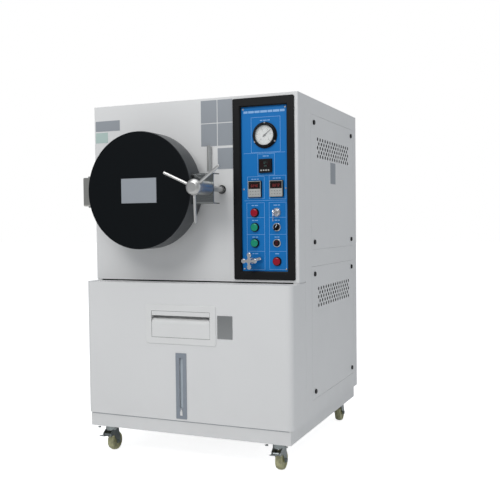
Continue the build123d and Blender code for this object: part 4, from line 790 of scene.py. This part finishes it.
# Painted shadow: a dark line under the cover's lower edge, on the plinth.
plinth_shadow_line = bmesh.new()
box(plinth_shadow_line, (-LINE_HALF, PLINTH_OUT, 156.5), (LINE_HALF, PLINTH_OUT + PRINT, 158.5))
piece("plinth_gap_shadow_line", plinth_shadow_line, plate_grey, "cabinet")

# Painted shade: a dark strip in the gap under the upper body, which also stops light from behind.
shade_strip = bmesh.new()
box(shade_strip, (-SHADE_STRIP_HALF, -8.0, 661.0), (SHADE_STRIP_HALF, -5.0, 674.6))
piece("gap_shade_strip", shade_strip, black_plastic, "cabinet")

# %% [markdown]
# ## Fixings
# Hexagon screws hold the caster plates under the plinth, small rivets hold the rack's sheets, and round
# screws hold the back. They carry no load here, so each set is one piece of low heads made by loops.

# %% Caster screws
CASTER_SCREW_Z = 99.6
caster_screws = bmesh.new()
for x in (-352, 352):
    for inside in (-22, 720):
        for dx in (-37, 37):
            for dy in (-30, 30):
                place = at(x + dx, -inside + dy, CASTER_SCREW_Z)
                round_head(caster_screws, place, DOWN, 6.0, 4.0, sides=6, narrow=1)
piece("caster_screws", caster_screws, zinc, "cabinet")

# %% Rack rivets
RACK_X = centre("rack_frame")[0]
RACK_LOW = extent("rack_frame")[0][2]
RACK_HALF = 156
rivets = bmesh.new()
for hand in (-1, 1):
    for inside in (24, 436):
        for rise in (14, 124, 152):
            place = at(RACK_X + hand * RACK_HALF, -inside, RACK_LOW + rise)
            round_head(rivets, place, (hand, 0, 0), 2.6, 0.9, sides=16)
piece("rack_rivets", rivets, stainless_y, "rack")

# %% Back screws
back_screws = bmesh.new()
top_and_foot = [(x, z) for x in (-405, -135, 135, 405) for z in (180, 1325)]
sides_between = [(x, z) for x in (-405, 405) for z in (466, 752, 1038)]
for x, z in top_and_foot + sides_between:
    round_head(back_screws, at(x, BACK_OUT, z), TO_BACK, 5.0, 2.2, sides=20)
piece("back_screws", back_screws, zinc, "cabinet")

# %% [markdown]
# ## Floor and surround
# The object stands on a plain pale floor in a pale room. A white backdrop could be lit up with more
# lamps, but then the cabinet's own white would clip. So the floor and the surround look white to the
# camera alone, and the light that falls on the object stays soft and low.

# %% Floor
floor_shape = bmesh.new()
bmesh.ops.create_grid(floor_shape, x_segments=1, y_segments=1, size=30)
floor_mesh = bpy.data.meshes.new("floor")
floor_shape.to_mesh(floor_mesh)
floor_shape.free()
floor_shader = Shader("floor_pale")
seen = Value(floor_shader, floor_shader.node("ShaderNodeLightPath").outputs["Is Camera Ray"])
floor_mesh.materials.append(floor_shader.finish(
    (0.88, 0.88, 0.88), floor_shader.noise(3).ramp(0, 1, 0.75, 0.85),
    Emission_Color=(1, 1, 1), Emission_Strength=seen * 0.80,
))
floor = bpy.data.objects.new("floor", floor_mesh)
bpy.context.scene.collection.objects.link(floor)
print("floor made")

# %% Surround
world = bpy.data.worlds.new("surround")
world.use_nodes = True
surround = Tree(world.node_tree)
camera_ray = surround.node("ShaderNodeLightPath").outputs["Is Camera Ray"]
light = surround.node("ShaderNodeBackground", {"Color": (0.93, 0.96, 1.0), "Strength": 0.42})
plain = surround.node("ShaderNodeBackground", {"Color": (1, 1, 1), "Strength": 1.0})
choice = surround.node("ShaderNodeMixShader", [camera_ray, light.outputs[0], plain.outputs[0]])
surround.node("ShaderNodeOutputWorld", {"Surface": choice.outputs[0]})
bpy.context.scene.world = world
print("surround made")

# %% [markdown]
# ## Lights
# Three large square lights stand for the softboxes of a studio: the key from the front left, one from
# above and a weak cool one on the right, which leaves the side a little darker than the front. Small
# lamps would draw hard shadows that the photograph doesn't have.

# %% Lights
for name, place, target, size, power, color in (
    ("key_light", (-0.5, -3.3, 3.3), (0, 0, 0.6), 1.8, 64, (1.0, 0.99, 0.98)),
    ("top_light", (0.3, -0.6, 3.6), (0, 0, 0.8), 2.4, 34, (1.0, 1.0, 1.0)),
    ("side_light", (3.4, 0.2, 1.6), (0, 0, 0.8), 1.8, 9, (0.92, 0.96, 1.0)),
):
    data = bpy.data.lights.new(name, "AREA")
    data.size = size
    data.energy = power
    data.color = color
    lamp = bpy.data.objects.new(name, data)
    lamp.location = place
    lamp.rotation_euler = (Vector(target) - Vector(place)).to_track_quat("-Z", "Y").to_euler()
    bpy.context.scene.collection.objects.link(lamp)
    print("light", name, power)

# %% [markdown]
# ## Camera
# The camera stands where the photograph's camera stood. It could be placed by eye, but a fit to the
# cabinet's edges gives the place, the turn and the focal length, so the render can be laid over the
# photograph.

# %% Camera
CAMERA_PLACE = (1.32111, -2.84208, 0.88661)
YAW, PITCH, ROLL = 0.4004, 0.0344, -0.0110
FOCAL_PIXELS, PICTURE_PIXELS = 766.31, 500
SENSOR = 36
forward = Vector((-sin(YAW) * cos(PITCH), cos(YAW) * cos(PITCH), -sin(PITCH)))
level_right = Vector((cos(YAW), sin(YAW), 0))
level_up = level_right.cross(forward)
right = level_right * cos(ROLL) + level_up * sin(ROLL)
up = level_up * cos(ROLL) - level_right * sin(ROLL)
turn = Matrix((right, up, -forward)).transposed()
lens = bpy.data.cameras.new("camera")
lens.sensor_width = SENSOR
lens.lens = SENSOR * FOCAL_PIXELS / PICTURE_PIXELS
camera = bpy.data.objects.new("camera", lens)
camera.matrix_world = Matrix.Translation(CAMERA_PLACE) @ turn.to_4x4()
bpy.context.scene.collection.objects.link(camera)
bpy.context.scene.camera = camera
bpy.context.scene.render.resolution_x = PICTURE_PIXELS
bpy.context.scene.render.resolution_y = PICTURE_PIXELS
bpy.context.scene.view_settings.view_transform = "Standard"
print("camera lens", round(lens.lens, 2), "half angle", round(degrees(atan(SENSOR / 2 / lens.lens)), 2))

# %% [markdown]
# ## Last update
# The view layer is updated once more, so that every added piece stands in its place.
# Added pieces must not make the object larger than its CAD.

# %% Update the view layer
bpy.context.view_layer.update()
